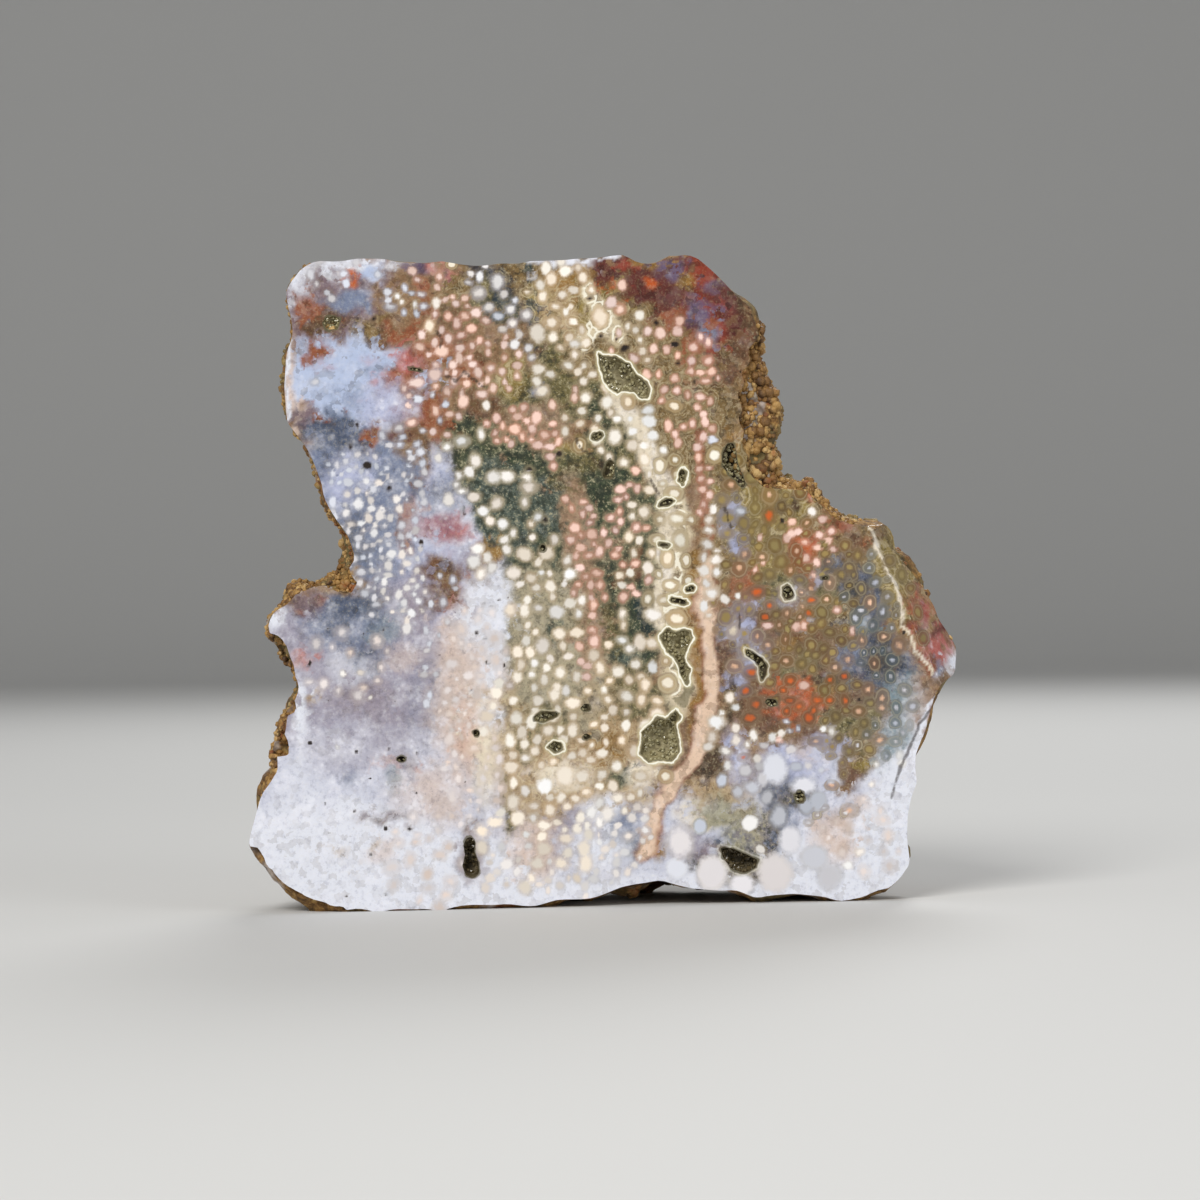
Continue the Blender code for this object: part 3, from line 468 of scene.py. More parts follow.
# The orbs that stand out, by kind: x, y, radius.
LANDMARKS = {
    "white": [
        (398, 298, 4), (403, 304, 4), (416, 307, 4), (437, 305, 6), (481, 435, 6), (448, 448, 5),
        (476, 461, 7), (487, 407, 5), (470, 473, 6), (494, 478, 8), (508, 477, 8), (575, 345, 6),
        (575, 355, 6), (618, 420, 5), (648, 411, 7), (649, 422, 7), (503, 525, 6), (514, 534, 5),
        (533, 538, 4), (554, 540, 6), (541, 573, 4), (550, 574, 4), (567, 560, 6), (570, 574, 7),
        (565, 583, 4), (538, 608, 6), (557, 612, 8), (543, 645, 9), (535, 663, 6), (551, 658, 5),
        (569, 656, 6), (532, 674, 5), (567, 690, 6), (578, 614, 6), (582, 600, 6), (648, 568, 6),
        (623, 614, 6), (622, 640, 6), (630, 649, 6), (653, 667, 6), (709, 520, 6), (709, 531, 6),
        (707, 545, 7), (717, 551, 4), (716, 560, 7), (716, 572, 6), (725, 599, 5), (738, 595, 4),
        (716, 722, 9), (712, 736, 8), (708, 746, 6), (832, 731, 5), (824, 729, 4), (735, 707, 4),
        (722, 712, 4), (773, 738, 5), (781, 734, 4), (747, 744, 4), (757, 758, 5), (545, 785, 9),
        (534, 805, 7), (534, 817, 6), (526, 833, 5), (526, 757, 6), (525, 790, 6), (653, 615, 9),
        (812, 512, 6), (848, 865, 5), (860, 852, 5), (872, 785, 4), (877, 765, 4), (900, 755, 5),
        (903, 763, 5), (345, 672, 4), (362, 672, 4), (372, 697, 3), (340, 745, 3), (600, 802, 7),
        (592, 812, 7), (608, 813, 8), (600, 822, 6),
    ],
    "cream": [
        (431, 327, 7), (540, 286, 6), (543, 297, 7), (527, 293, 4), (574, 292, 5), (556, 308, 5),
        (565, 313, 5), (571, 307, 4), (573, 323, 5), (600, 318, 10), (560, 349, 5), (570, 339, 5),
        (584, 367, 5), (578, 373, 5), (593, 376, 5), (584, 383, 5), (607, 403, 7), (611, 413, 5),
        (598, 419, 5), (582, 412, 5), (565, 418, 5), (580, 424, 5), (639, 317, 6), (628, 328, 5),
        (636, 331, 5), (640, 341, 5), (642, 352, 5), (647, 360, 5), (632, 446, 7), (531, 524, 5),
        (537, 588, 6), (528, 625, 5), (560, 672, 8), (577, 676, 6), (626, 696, 8), (636, 664, 6),
        (633, 505, 5), (632, 517, 5), (629, 537, 6), (639, 541, 5), (634, 553, 5), (620, 575, 5),
        (630, 572, 5), (622, 585, 5), (623, 625, 5), (657, 700, 6), (573, 730, 8), (594, 724, 5),
        (604, 717, 5), (605, 727, 5), (606, 741, 5), (602, 753, 6), (583, 752, 6), (622, 740, 6),
        (565, 775, 11), (583, 775, 8), (550, 796, 6), (561, 796, 6), (625, 725, 6), (602, 774, 7),
        (640, 775, 8), (618, 797, 6), (630, 797, 6), (624, 810, 5), (593, 655, 8), (640, 642, 8),
        (652, 643, 8), (600, 667, 8), (538, 700, 6), (588, 690, 5), (610, 680, 5), (514, 700, 5),
    ],
    "pink": [
        (457, 325, 6), (466, 318, 6), (472, 330, 6), (461, 337, 5), (448, 318, 5), (480, 342, 5),
        (658, 375, 5), (664, 391, 5), (688, 395, 5), (700, 397, 5), (710, 402, 5), (683, 428, 5),
        (693, 424, 5), (697, 447, 5), (698, 457, 5), (699, 468, 5), (701, 478, 5), (702, 489, 5),
        (635, 470, 5), (637, 489, 5), (620, 511, 5), (646, 528, 5), (648, 580, 5), (583, 515, 5),
        (592, 535, 6), (604, 533, 5), (609, 543, 5), (600, 552, 6), (580, 568, 5), (585, 577, 5),
        (600, 585, 6), (605, 597, 5), (592, 615, 5), (592, 630, 5), (575, 528, 6), (571, 541, 6),
        (581, 548, 5), (566, 500, 5), (572, 508, 5), (760, 538, 4), (756, 570, 4), (545, 436, 6),
        (539, 446, 6), (550, 447, 5), (515, 430, 6), (523, 437, 5), (805, 543, 5), (806, 558, 5),
        (817, 562, 5), (799, 531, 5), (787, 538, 5), (832, 531, 5), (820, 535, 5), (817, 548, 5),
        (829, 541, 5), (833, 550, 5), (792, 522, 5), (792, 533, 5), (837, 610, 5), (852, 630, 5),
        (797, 626, 5), (804, 626, 5), (767, 626, 5), (779, 740, 4), (763, 563, 4), (814, 575, 4),
    ],
    "bead": [
        (405, 315, 4), (712, 440, 5), (740, 511, 6), (419, 400, 5), (433, 396, 4), (446, 405, 4),
        (441, 421, 4), (424, 432, 4), (316, 384, 5),
    ],
    "star": [(750, 823, 8), (761, 848, 5)],
    "big_disc": [
        (775, 873, 18), (712, 873, 17), (680, 842, 17), (676, 868, 11), (814, 857, 14),
        (790, 839, 13), (775, 768, 16), (804, 785, 12), (830, 876, 14), (742, 884, 12),
    ],
    # The specks are painted shade of tiny holes.
    "speck": [
        (485, 603, 2.4), (500, 600, 2.2), (478, 632, 3.0), (485, 637, 2.2), (487, 663, 2.4),
        (505, 665, 2.0), (492, 606, 1.6), (508, 598, 1.6), (474, 606, 1.6), (376, 321, 3.0),
        (359, 426, 3.0), (352, 447, 3.4), (369, 467, 4.5), (391, 489, 4.0), (423, 543, 3.4),
        (390, 748, 2.6), (418, 752, 2.4), (358, 750, 2.4), (312, 742, 2.6), (387, 826, 2.6),
        (411, 827, 3.0), (356, 809, 2.4), (387, 892, 2.4), (348, 893, 2.0), (416, 402, 2.0),
        (385, 630, 2.2), (365, 634, 2.0), (396, 700, 1.6), (465, 514, 3.0), (338, 328, 3.0),
        (601, 337, 3.4), (616, 340, 2.4), (625, 350, 5.0), (589, 300, 3.0), (656, 324, 3.4),
        (675, 345, 4.0), (695, 382, 3.0), (677, 364, 2.6), (495, 478, 2.4), (508, 477, 2.4),
        (818, 683, 3.0), (803, 579, 3.0), (330, 700, 1.6), (300, 762, 1.8), (412, 690, 1.6),
        (440, 655, 1.8), (470, 690, 2.0), (465, 780, 2.0), (860, 700, 3.0), (905, 632, 2.6),
        (781, 520, 3.0), (530, 470, 3.0), (560, 455, 3.4), (545, 520, 3.0),
    ],
    "ringed": [
        (628, 402, 9), (674, 407, 8), (580, 446, 8), (660, 466, 8), (674, 460, 7), (674, 494, 9),
        (680, 540, 10), (677, 519, 9), (667, 558, 9), (670, 585, 8), (677, 618, 10), (667, 683, 10),
        (648, 599, 8), (666, 776, 8), (613, 380, 4), (452, 266, 6), (733, 631, 9), (714, 455, 9),
        (657, 540, 8), (686, 560, 7), (660, 520, 7), (690, 520, 6), (688, 580, 6), (664, 600, 7),
    ],
    "eye": [
        (761, 557, 8), (757, 636, 9), (768, 645, 8), (787, 661, 8), (848, 660, 8), (875, 663, 8),
        (835, 667, 7), (884, 637, 7), (900, 645, 9), (734, 666, 9), (769, 495, 10), (880, 740, 8),
        (859, 711, 8), (883, 698, 9), (868, 690, 8), (882, 708, 7), (832, 785, 7), (731, 485, 9),
        (870, 602, 8), (850, 810, 9), (816, 741, 7), (862, 640, 7),
    ],
    "rust_eye": [
        (769, 516, 9), (757, 592, 9), (751, 672, 10), (790, 680, 8), (845, 700, 7), (743, 757, 6),
        (770, 605, 7), (812, 600, 7), (790, 700, 6), (830, 700, 6),
    ],
    "grey_eye": [
        (831, 783, 5), (823, 808, 5), (817, 815, 5), (808, 822, 5), (775, 768, 6), (858, 745, 6),
        (846, 812, 6),
    ],
    "olive_eye": [
        (744, 523, 8), (743, 539, 7), (842, 575, 8), (800, 492, 8), (775, 700, 6), (752, 478, 9),
        (725, 585, 6), (770, 575, 7), (800, 580, 7), (822, 612, 8), (750, 610, 7), (858, 555, 7),
        (841, 640, 7), (816, 655, 7),
    ],
    "blue_eye": [
        (862, 610, 7), (876, 582, 7), (888, 597, 7), (883, 612, 8), (856, 618, 8), (874, 625, 7),
        (893, 660, 8), (890, 677, 7), (905, 690, 8), (913, 706, 7), (895, 722, 7), (895, 742, 7),
        (872, 554, 6), (845, 597, 7),
    ],
    "frost": [
        (479, 295, 8), (498, 284, 8), (490, 309, 6), (510, 312, 6), (513, 325, 6), (526, 316, 7),
        (480, 278, 5), (471, 275, 4), (505, 296, 5), (528, 349, 5), (532, 359, 5), (515, 346, 5),
        (486, 268, 4), (502, 331, 5), (519, 335, 5),
    ],
    "disc": [
        (763, 778, 8), (767, 796, 8), (796, 767, 6), (779, 816, 12), (752, 787, 9), (738, 792, 8),
        (760, 766, 7), (818, 800, 10), (700, 826, 8), (722, 780, 7), (745, 770, 7), (806, 806, 9),
    ],
}
# Orbs strewn over an area: kind, x, y, half width, half height, turn, the gap between strings of
# them, how many hang together at most, and how scarce they are.
STREWS = [
    ("frost", 404, 582, 24, 34, 0, -1.0, 3, 0.0), ("frost", 372, 505, 26, 24, 0, -0.8, 3, 0.1),
    ("bead", 385, 545, 38, 60, 0, -1.2, 3, 0.05), ("bead", 358, 492, 38, 40, 0, -0.8, 3, 0.2),
    ("bead", 340, 280, 40, 20, 0, 2.0, 2, 0.4), ("bead", 404, 306, 22, 16, 0, 0.0, 4, 0.1),
    ("bead", 400, 470, 28, 44, 0, -0.5, 3, 0.3), ("rose", 450, 335, 34, 40, 0, -0.8, 5, 0.05),
    ("rose", 425, 300, 34, 34, 0, 0.5, 2, 0.35), ("rose", 455, 385, 50, 34, 10, -0.3, 4, 0.15),
    ("pink", 545, 437, 16, 22, 10, -0.8, 4, -0.1), ("pink", 512, 425, 34, 16, 10, -0.3, 4, 0.1),
    ("bead", 496, 302, 16, 46, 36, 0.6, 2, 0.35), ("rose", 500, 345, 30, 30, 0, -0.3, 5, 0.15),
    ("cream", 555, 320, 50, 60, 0, -0.3, 4, 0.35), ("rose", 540, 380, 46, 44, 0, 0.0, 3, 0.4),
    ("rose", 630, 335, 34, 50, 0, 0.0, 3, 0.4), ("pink", 680, 380, 34, 60, 0, 0.2, 3, 0.3),
    ("white", 480, 470, 42, 52, 0, -0.8, 3, 0.55), ("cream", 590, 415, 34, 34, 0, -0.3, 4, 0.25),
    ("white", 505, 520, 44, 56, 0, -0.8, 3, 0.55), ("cream", 545, 610, 36, 70, 0, -1.0, 5, 0.25),
    ("pink", 584, 590, 15, 90, 0, -1.2, 6, -0.1), ("pink", 624, 540, 14, 60, 0, -0.5, 3, 0.15),
    ("cream", 635, 560, 22, 120, 0, -0.3, 4, 0.3), ("ringed", 672, 560, 14, 130, 0, 0.8, 3, 0.0),
    ("white", 645, 442, 15, 46, 24, -0.6, 4, 0.0), ("ringed", 652, 455, 26, 50, 24, 0.8, 3, 0.0),
    ("cream", 570, 690, 80, 74, 0, -1.0, 5, 0.22), ("cream", 560, 780, 60, 56, 0, -1.0, 6, 0.12),
    ("cream", 630, 740, 30, 66, 0, -0.8, 4, 0.2), ("milk", 480, 720, 36, 120, 0, -2.0, 3, 0.0),
    ("pink", 703, 455, 9, 66, 0, -0.2, 6, -0.1), ("white", 708, 540, 7, 44, 0, -0.4, 5, 0.0),
    ("olive_eye", 756, 500, 36, 56, 0, -3.0, 2, 0.0), ("eye", 780, 570, 60, 70, 0, -1.5, 1, 0.1),
    ("pink", 810, 540, 26, 26, 0, 0.5, 3, 0.25), ("olive_eye", 790, 600, 80, 80, 0, -4.0, 2, 0.05),
    ("pink", 790, 630, 70, 70, 0, 0.5, 3, 0.35), ("rust_eye", 790, 660, 60, 56, 0, -2.0, 2, 0.15),
    ("blue_eye", 868, 615, 30, 50, 0, -0.5, 2, 0.05),
    ("blue_eye", 888, 710, 24, 50, 0, 0.0, 2, 0.15),
    ("olive_eye", 845, 720, 34, 44, 0, -3.0, 2, 0.1), ("white", 732, 735, 22, 40, 0, 0.0, 4, 0.2),
    ("bead", 800, 745, 60, 26, 0, 0.5, 3, 0.35), ("milk", 850, 840, 50, 44, 0, 1.0, 2, 0.2),
    # The specks strewn in this row are painted shade of tiny holes.
    ("speck", 400, 700, 120, 160, 0, 24.0, 2, 0.0), ("milk", 350, 660, 50, 34, 0, 1.0, 3, 0.35),
    ("milk", 430, 850, 40, 40, 0, 1.0, 3, 0.3), ("olive_eye", 905, 600, 14, 46, 25, 3.0, 1, 0.0),
    ("frost", 605, 830, 50, 46, 0, -1.0, 5, 0.2), ("frost", 535, 860, 40, 30, 0, -0.5, 5, 0.25),
    ("bead", 445, 640, 26, 70, 0, 2.0, 2, 0.3), ("rose", 425, 420, 30, 50, 0, 1.0, 2, 0.2),
]
STREW_TRIES = 1500
STREW_SEED = 5
WAVE_SEED = 1
# The size of a strewn orb within its kind, how far its string strays from the way the strings run,
# and how close the next one of the string is, in diameters.
STREW_SIZES = (0.8, 1.0)
STRING_SPREAD = math.radians(35)
STRING_STEP = 0.92
# The strings lean by an angle at a height of the picture, and less with each step down from it.
FLOW_ANGLE = 32.0
FLOW_TOP = 280.0
FLOW_BEND = 0.1
# Where orbs crowd: the size of the crowds, and the noise there that lets an orb grow.
CROWD_SPAN = 15.0
CROWD_EDGE = (-0.28, 0.02)
# How the orbs differ: brightness, warmth, squash, the reach of the core and the outline, and the
# waves of their edges. A ring takes a share of the ground's colour.
BRIGHTNESS = (0.68, 1.0)
WARMTH = (0.80, 1.0)
SQUASH = (0.84, 1.18)
CORE_SPREAD = (0.75, 1.15)
OUTLINE_SPREAD = (0.2, 1.3)
ORB_WAVES = [(1.0, 5.0), (1.6, 13.0)]
ORB_REACH = 3
GROUND_SHARE = 0.4
# What stands for no orb, hollow or crack near a place: a squared share of a radius, and a distance.
NO_ORB = 9.0
FAR = 60.0
# How deep the polish's pattern and the hollows reach behind the face.
PATTERN_DEPTH = 0.4 * MM
HOLLOWS_DEPTH = 5 * MM

# Knobs on the crust: an area of the picture, how many, how deep behind the face and their radii.
KNOBS = [
    (772, 410, 48, 90, 0, 400, (0.3, 12.0), (0.34, 0.9)),
    (772, 410, 48, 90, 0, 110, (1.0, 12.0), (0.8, 1.4)),
    (772, 410, 48, 90, 0, 90, (0.3, 6.0), (0.25, 0.45)),
    (830, 500, 80, 34, 25, 280, (0.3, 10.0), (0.34, 0.85)),
    (925, 620, 50, 80, 0, 60, (1.5, 12.0), (0.35, 0.7)),
    (330, 560, 70, 50, 0, 230, (0.3, 9.0), (0.34, 0.8)),
    (283, 690, 44, 130, 0, 340, (0.3, 9.0), (0.3, 0.75)),
    (300, 400, 40, 150, 0, 180, (0.3, 8.0), (0.3, 0.65)),
    (600, 600, 500, 500, 0, 640, (6.0, 38.0), (0.6, 1.3)),
]
KNOB_SEED = 3
# The shapes of knobs: how many, and the span, the shift and the height of their waves.
KNOB_SHAPES = 4
KNOB_WAVES = (1.3, 9.1, 0.35)
# Knobs past this radius are clumps of grains, so that no big round one shows.
LARGEST_ROUND = 0.65 * MM
CLUMP_SHAPES = 5
CLUMP_SEED = 20
CLUMP_GRAINS = 4
CLUMP_ANGLE = 2.1
# How deep a knob sits in radii, how far it stays from the face and the box, and its stretch
# sideways and upwards.
KNOB_SINK = (0.1, 0.5)
FACE_ROOM = 1.15
BOX_ROOM = 1.2
KNOB_WIDTHS = (0.8, 1.2)
KNOB_HEIGHTS = (0.8, 1.1)
SPINS = (0, 6.3)

# Crystals: how many, their radii, their depths behind the face, their prism and point in radii,
# how long they are of that, how far they lean and how deep they sit.
CRYSTAL_COUNT = 700
CRYSTAL_SEED = 8
CRYSTAL_RADII = (0.13, 0.30)
CRYSTAL_DEPTHS = (0.35, 4.5)
CRYSTAL_SHAFT = 1.8
CRYSTAL_POINT = 1.2
CRYSTAL_LENGTH = CRYSTAL_SHAFT + CRYSTAL_POINT
CRYSTAL_LENGTHS = (0.6, 1.1)
SHORTEST_CRYSTAL = 0.3
CRYSTAL_LEAN = 0.45
CRYSTAL_SINK = 0.6
# How far crust lies from the polished face, the ground and the facet.
CRUST_GAPS = (0.05 * MM, 0.1 * MM, 0.1 * MM)

# The noises of the polish: length in millimetres, detail and roughness.
POLISH_NOISES = {
    "broad": (3.2, 4.0, 0.6), "fine": (0.62, 3.0, 0.6), "grit": (0.36, 3.0, 0.72),
    "mottle": (1.0, 5.0, 0.72), "stray": (1.9, 4.0, 0.62), "scallop": (1.3, 1.0, 0.5),
}
# The bent tiles of the ground: their size, the length of the bends and how far they bend.
TILE_SIZE = 1.1
TILE_BENDS = 0.8
TILE_BEND = (1.5, 1.5, 1.5)
# The soft beads in cloudy ground.
BEAD_SIZE = 1.15
# Layers over the ground: the noise that picks the spots, where it begins and where it is full, the
# trait of the ground that they go with, their strength with it and without it, colour and blend.
CLOUD_LAYERS = [
    ("broad", 0.46, 0.72, "cloudy", 0.50, 0.0, (0.93, 0.93, 0.97), "MIX"),
    ("broad", 0.52, 0.28, "lined", 0.35, 0.0, (0.40, 0.33, 0.28), "MULTIPLY"),
    ("mottle", 0.52, 0.30, "cloudy", 0.40, 0.0, (0.70, 0.72, 0.80), "MULTIPLY"),
    ("mottle", 0.50, 0.72, "cloudy", 0.25, 0.0, (0.97, 0.97, 0.98), "MIX"),
]
GRAIN_LAYERS = [
    ("grit", 0.48, 0.72, "lined", 0.40, 0.08, (0.82, 0.75, 0.58), "MIX"),
    ("mottle", 0.50, 0.30, "lined", 0.60, 0.10, (0.46, 0.35, 0.23), "MULTIPLY"),
    ("mottle", 0.55, 0.40, "mossy", 0.78, 0.0, (0.14, 0.17, 0.13), "MIX"),
]
# Colours of the crust, the knobs, the hollows and the crystals, from dark to light.
CRUST_STOPS = [(0.25, (0.30, 0.21, 0.11)), (0.45, (0.52, 0.38, 0.20)), (0.60, (0.68, 0.53, 0.30)),
               (0.80, (0.82, 0.72, 0.50))]
KNOB_STOPS = [(0.15, (0.34, 0.22, 0.10)), (0.40, (0.55, 0.40, 0.20)), (0.62, (0.68, 0.53, 0.30)),
              (0.90, (0.83, 0.71, 0.49))]
HOLLOW_STOPS = [(0.28, (0.38, 0.34, 0.23)), (0.44, (0.53, 0.49, 0.35)), (0.58, (0.62, 0.58, 0.44)),
                (0.72, (0.80, 0.77, 0.63))]
CRYSTAL_STOPS = [(0.0, (0.42, 0.37, 0.25)), (0.4, (0.55, 0.51, 0.37)), (0.8, (0.67, 0.64, 0.50)),
                 (1.0, (0.83, 0.81, 0.71))]
# Areas of colour on the crust and the knobs: the noise, where it begins and where it is full, the
# strength and the colour.
CRUST_AREAS = [
    ((9.0, 3.0, 0.6), 0.50, 0.60, 0.7, (0.42, 0.40, 0.26)),
    ((6.0, 3.0, 0.6), 0.56, 0.66, 0.7, (0.52, 0.26, 0.13)),
    ((12.0, 4.0, 0.6, 0.6), 0.56, 0.64, 0.75, (0.80, 0.76, 0.74)),
]
KNOB_AREAS = [
    ((8.0, 3.0, 0.6), 0.52, 0.64, 0.6, (0.46, 0.43, 0.27)),
    ((5.0, 3.0, 0.6), 0.58, 0.68, 0.6, (0.58, 0.30, 0.14)),
]

# The camera: its turn round the stone, its distance in metres, the width that it sees at the face
# and the spot of the picture that it looks at.
CAMERA_TURN = math.radians(-3.0)
CAMERA_DISTANCE = 0.51
CAMERA_SENSOR = 36.0
FRAME_MM = 179.2
AIM = (600.0, 600.0)
# The lights: name, place, size, power and colour, and the spot that they point at.
LIGHTS = [
    ("key", (-0.45, -0.75, 0.75), 0.55, 9.0, (1.0, 0.985, 0.96)),
    ("fill", (0.7, -0.6, 0.3), 0.6, 2.4, (0.96, 0.98, 1.0)),
    ("back", (0.2, 0.8, 0.7), 0.5, 4.0, (1.0, 1.0, 1.0)),
]
LIGHTS_AIM = (0.0, 0.0, 0.05)
SKY_COLOUR = (0.80, 0.80, 0.80, 1.0)
SKY_STRENGTH = 0.38
# The floor: its size, the radius and the steps of its sweep, and the height of the wall.
FLOOR_SIZE = (4.0, 3.0)
FLOOR_COLOUR = (0.60, 0.60, 0.59, 1.0)
SWEEP_RADIUS = 0.5
SWEEP_STEPS = 8
WALL_HEIGHT = 2.0


def standing(x, y, depth):
    """The place of a spot of the picture on the standing stone, depth millimetres behind the face."""
    across = (x - PICTURE_ORIGIN[0]) * PICTURE_MM
    up = (PICTURE_ORIGIN[1] - y) * PICTURE_MM
    turned = Matrix.Rotation(STANDING_TURN, 3, "Y") @ Vector((across, 0.0, up))
    return Vector(((turned.x + STANDING_SHIFT) * MM, LOW.y + depth * MM, turned.z * MM))


def spots_of(points):
    """The spots of the picture at which places on the standing stone are seen."""
    across = points[:, 0] / MM - STANDING_SHIFT
    up = points[:, 2] / MM
    cosine = math.cos(STANDING_TURN)
    sine = math.sin(STANDING_TURN)
    x = PICTURE_ORIGIN[0] + (across * cosine - up * sine) / PICTURE_MM
    y = PICTURE_ORIGIN[1] - (up * cosine + across * sine) / PICTURE_MM
    return np.stack((x, y), axis=1)


def depths_of(points):
    """How far behind the face places are, in millimetres."""
    return (points[:, 1] - LOW.y) / MM


def deselect_all():
    bpy.ops.object.select_all(action="DESELECT")


def work_on(piece):
    """Makes a piece the only one selected and the one that operators act on."""
    deselect_all()
    piece.select_set(True)
    bpy.context.view_layer.objects.active = piece


@contextmanager
def edit_mode(kind, action=None):
    """Edit mode for a kind of element, with the selection as it is or after a select-all action."""
    bpy.ops.object.mode_set(mode="EDIT")
    bpy.ops.mesh.select_mode(type=kind)
    if action:
        bpy.ops.mesh.select_all(action=action)
    yield
    bpy.ops.mesh.select_all(action="DESELECT")
    bpy.ops.object.mode_set(mode="OBJECT")


def extrude(move):
    bpy.ops.mesh.extrude_region_move(TRANSFORM_OT_translate={"value": tuple(move)})


def extrude_edges(move):
    bpy.ops.mesh.extrude_edges_move(TRANSFORM_OT_translate={"value": tuple(move)})


def face_outwards():
    bpy.ops.mesh.select_all(action="SELECT")
    bpy.ops.mesh.normals_make_consistent(inside=False)


def join(pieces):
    """Joins the pieces to the first of them."""
    work_on(pieces[0])
    for piece in pieces:
        piece.select_set(True)
    bpy.ops.object.join()
    return bpy.context.object


def add_ball(detail):
    deselect_all()
    bpy.ops.mesh.primitive_ico_sphere_add(subdivisions=detail, radius=1.0)
    return bpy.context.object


def read(items, name, width):
    """A measure of each item of a mesh, one row for each."""
    flat = np.zeros(len(items) * width)
    items.foreach_get(name, flat)
    return flat.reshape(-1, width)


def points_of(piece):
    return read(piece.data.vertices, "co", 3)


def set_points(piece, points):
    piece.data.vertices.foreach_set("co", points.ravel())
    piece.data.update()


def normals_of(piece):
    return read(piece.data.vertices, "normal", 3)


def apply_modifier(piece, kind, **settings):
    work_on(piece)
    modifier = piece.modifiers.new(kind.title(), kind)
    for name, value in settings.items():
        setattr(modifier, name, value)
    bpy.ops.object.modifier_apply(modifier=modifier.name)


def cut(piece, cutter, operation):
    apply_modifier(piece, "BOOLEAN", operation=operation, solver="EXACT", object=cutter)
    bpy.data.objects.remove(cutter)


def noise_at(points, length, seed=0.0):
    """Smooth noise from -1 to 1 at each place, over a length in millimetres."""
    shift = Vector([seed * way for way in SEED_SHIFTS])
    scale = 1.0 / (length * MM)
    return np.array([noise.noise(Vector(p) * scale + shift) for p in points])


def knobs_at(points, length):
    """How far each place is from the nearest middle of a field of knobs, at most one."""
    scale = 1.0 / (length * MM)
    away = np.array([noise.voronoi(Vector(p) * scale)[0][0] for p in points])
    return np.clip(away, 0.0, 1.0)


def store(piece, name, values):
    """Keeps numbers, or colours with four channels, on the piece's points."""
    is_colour = values.ndim == 2
    made = piece.data.attributes.new(name, "FLOAT_COLOR" if is_colour else "FLOAT", "POINT")
    made.data.foreach_set("color" if is_colour else "value", values.astype(np.float32).ravel())


def store_traits(piece, height):
    """Keeps a grain's height, and room for its tone."""
    store(piece, "height", height)
    store(piece, "tone", np.zeros(len(height)))


# The stone's mesh.

def facet_frame():
    """The facet's middle, and its directions down along the edge, back along the slope and out."""
    top = standing(*FACET_TOP, 0.0)
    foot = standing(*FACET_FOOT, 0.0)
    down = (foot - top).normalized()
    outwards = Vector((-down.z, 0.0, down.x))
    back = Vector((0.0, 1.0, 0.0))
    slope = outwards * math.cos(FACET_SLOPE) + back * math.sin(FACET_SLOPE)
    facing = outwards * math.sin(FACET_SLOPE) - back * math.cos(FACET_SLOPE)
    return (top + foot) / 2, down, slope, facing


def off_facet(points):
    """How far each place is from the facet's plane."""
    middle, _, _, facing = facet_frame()
    return np.abs((points - np.array(middle)) @ np.array(facing))


def copy_stone():
    """A copy of the solid's mesh with its points merged."""
    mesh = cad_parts[STONE_NODE].data.copy()
    stone = bpy.data.objects.new("polished_jasper", mesh)
    bpy.context.scene.collection.objects.link(stone)
    work_on(stone)
    with edit_mode("VERT", "SELECT"):
        bpy.ops.mesh.remove_doubles(threshold=MERGE_GAP)
    return stone


def grow_flat_side(stone, at, facing):
    """Extrudes the faces that lie in a plane, so that the side can be cut again there."""
    work_on(stone)
    for face in stone.data.polygons:
        flat = face.normal.dot(facing) > FLAT_LEAN
        face.select = flat and abs((face.center - at).dot(facing)) < FLAT_GAP
    with edit_mode("FACE"):
        extrude(facing * GROWTH)


def fill_old_hollows(stone):
    """Joins plugs to the stone that fill the solid's own hollows."""
    plugs = []
    for x, y, width, height, depth, turn in OLD_HOLLOWS:
        plug = add_ball(2)
        size = Vector((width / 2, depth, height / 2)) * PLUG_SIZE * MM
        turned = Matrix.Rotation(math.radians(turn), 4, "Y") @ Matrix.Diagonal((*size, 1.0))
        plug.data.transform(Matrix.Translation(standing(x, y, 0.0)) @ turned)
        plugs.append(plug)
    join([stone, *plugs])


def roughen_crust(stone):
    """Lowers the crust between small knobs and in pores, and keeps the knobs where they are."""
    points = points_of(stone)
    behind = depths_of(points)
    span, sharpness, deepest = PORES
    pores = np.clip(noise_at(points, span, 1.0) * sharpness, 0.0, 1.0)
    depth = sum(deep * knobs_at(points, size) ** 2 for size, deep in CRUST_KNOBS) + deepest * pores
    depth *= np.where(off_facet(points) / MM < FACET_MARGIN + GROWTH / MM, FACET_CALM, 1.0)
    into = np.clip((points[:, 1] - LOW.y) / (EDGE_CALM_DEPTH * MM), 0.0, 1.0)
    depth *= EDGE_CALM + (1 - EDGE_CALM) * into
    moved = points - normals_of(stone) * (depth * MM)[:, None]
    bulge = np.clip(in_ellipse(spots_of(points), *BULGE) / BULGE_STEPS, 0.0, 1.0)
    push = EDGE_PUSH * (1.0 - soft_step(behind, *PUSH_DEPTHS))
    moved[:, 0] += bulge * (BULGE_TRIM * soft_step(behind, *TRIM_DEPTHS) - push) * MM
    set_points(stone, moved)


def add_grid(size_x, size_y):
    """A flat grid round the origin with the face's spacing, facing up."""
    deselect_all()
    count_x = round(size_x / FACE_GRID)
    count_y = round(size_y / FACE_GRID)
    bpy.ops.mesh.primitive_grid_add(x_subdivisions=count_x, y_subdivisions=count_y, size=1.0)
    grid = bpy.context.object
    grid.data.transform(Matrix.Diagonal((count_x * FACE_GRID, count_y * FACE_GRID, 1.0, 1.0)))
    return grid


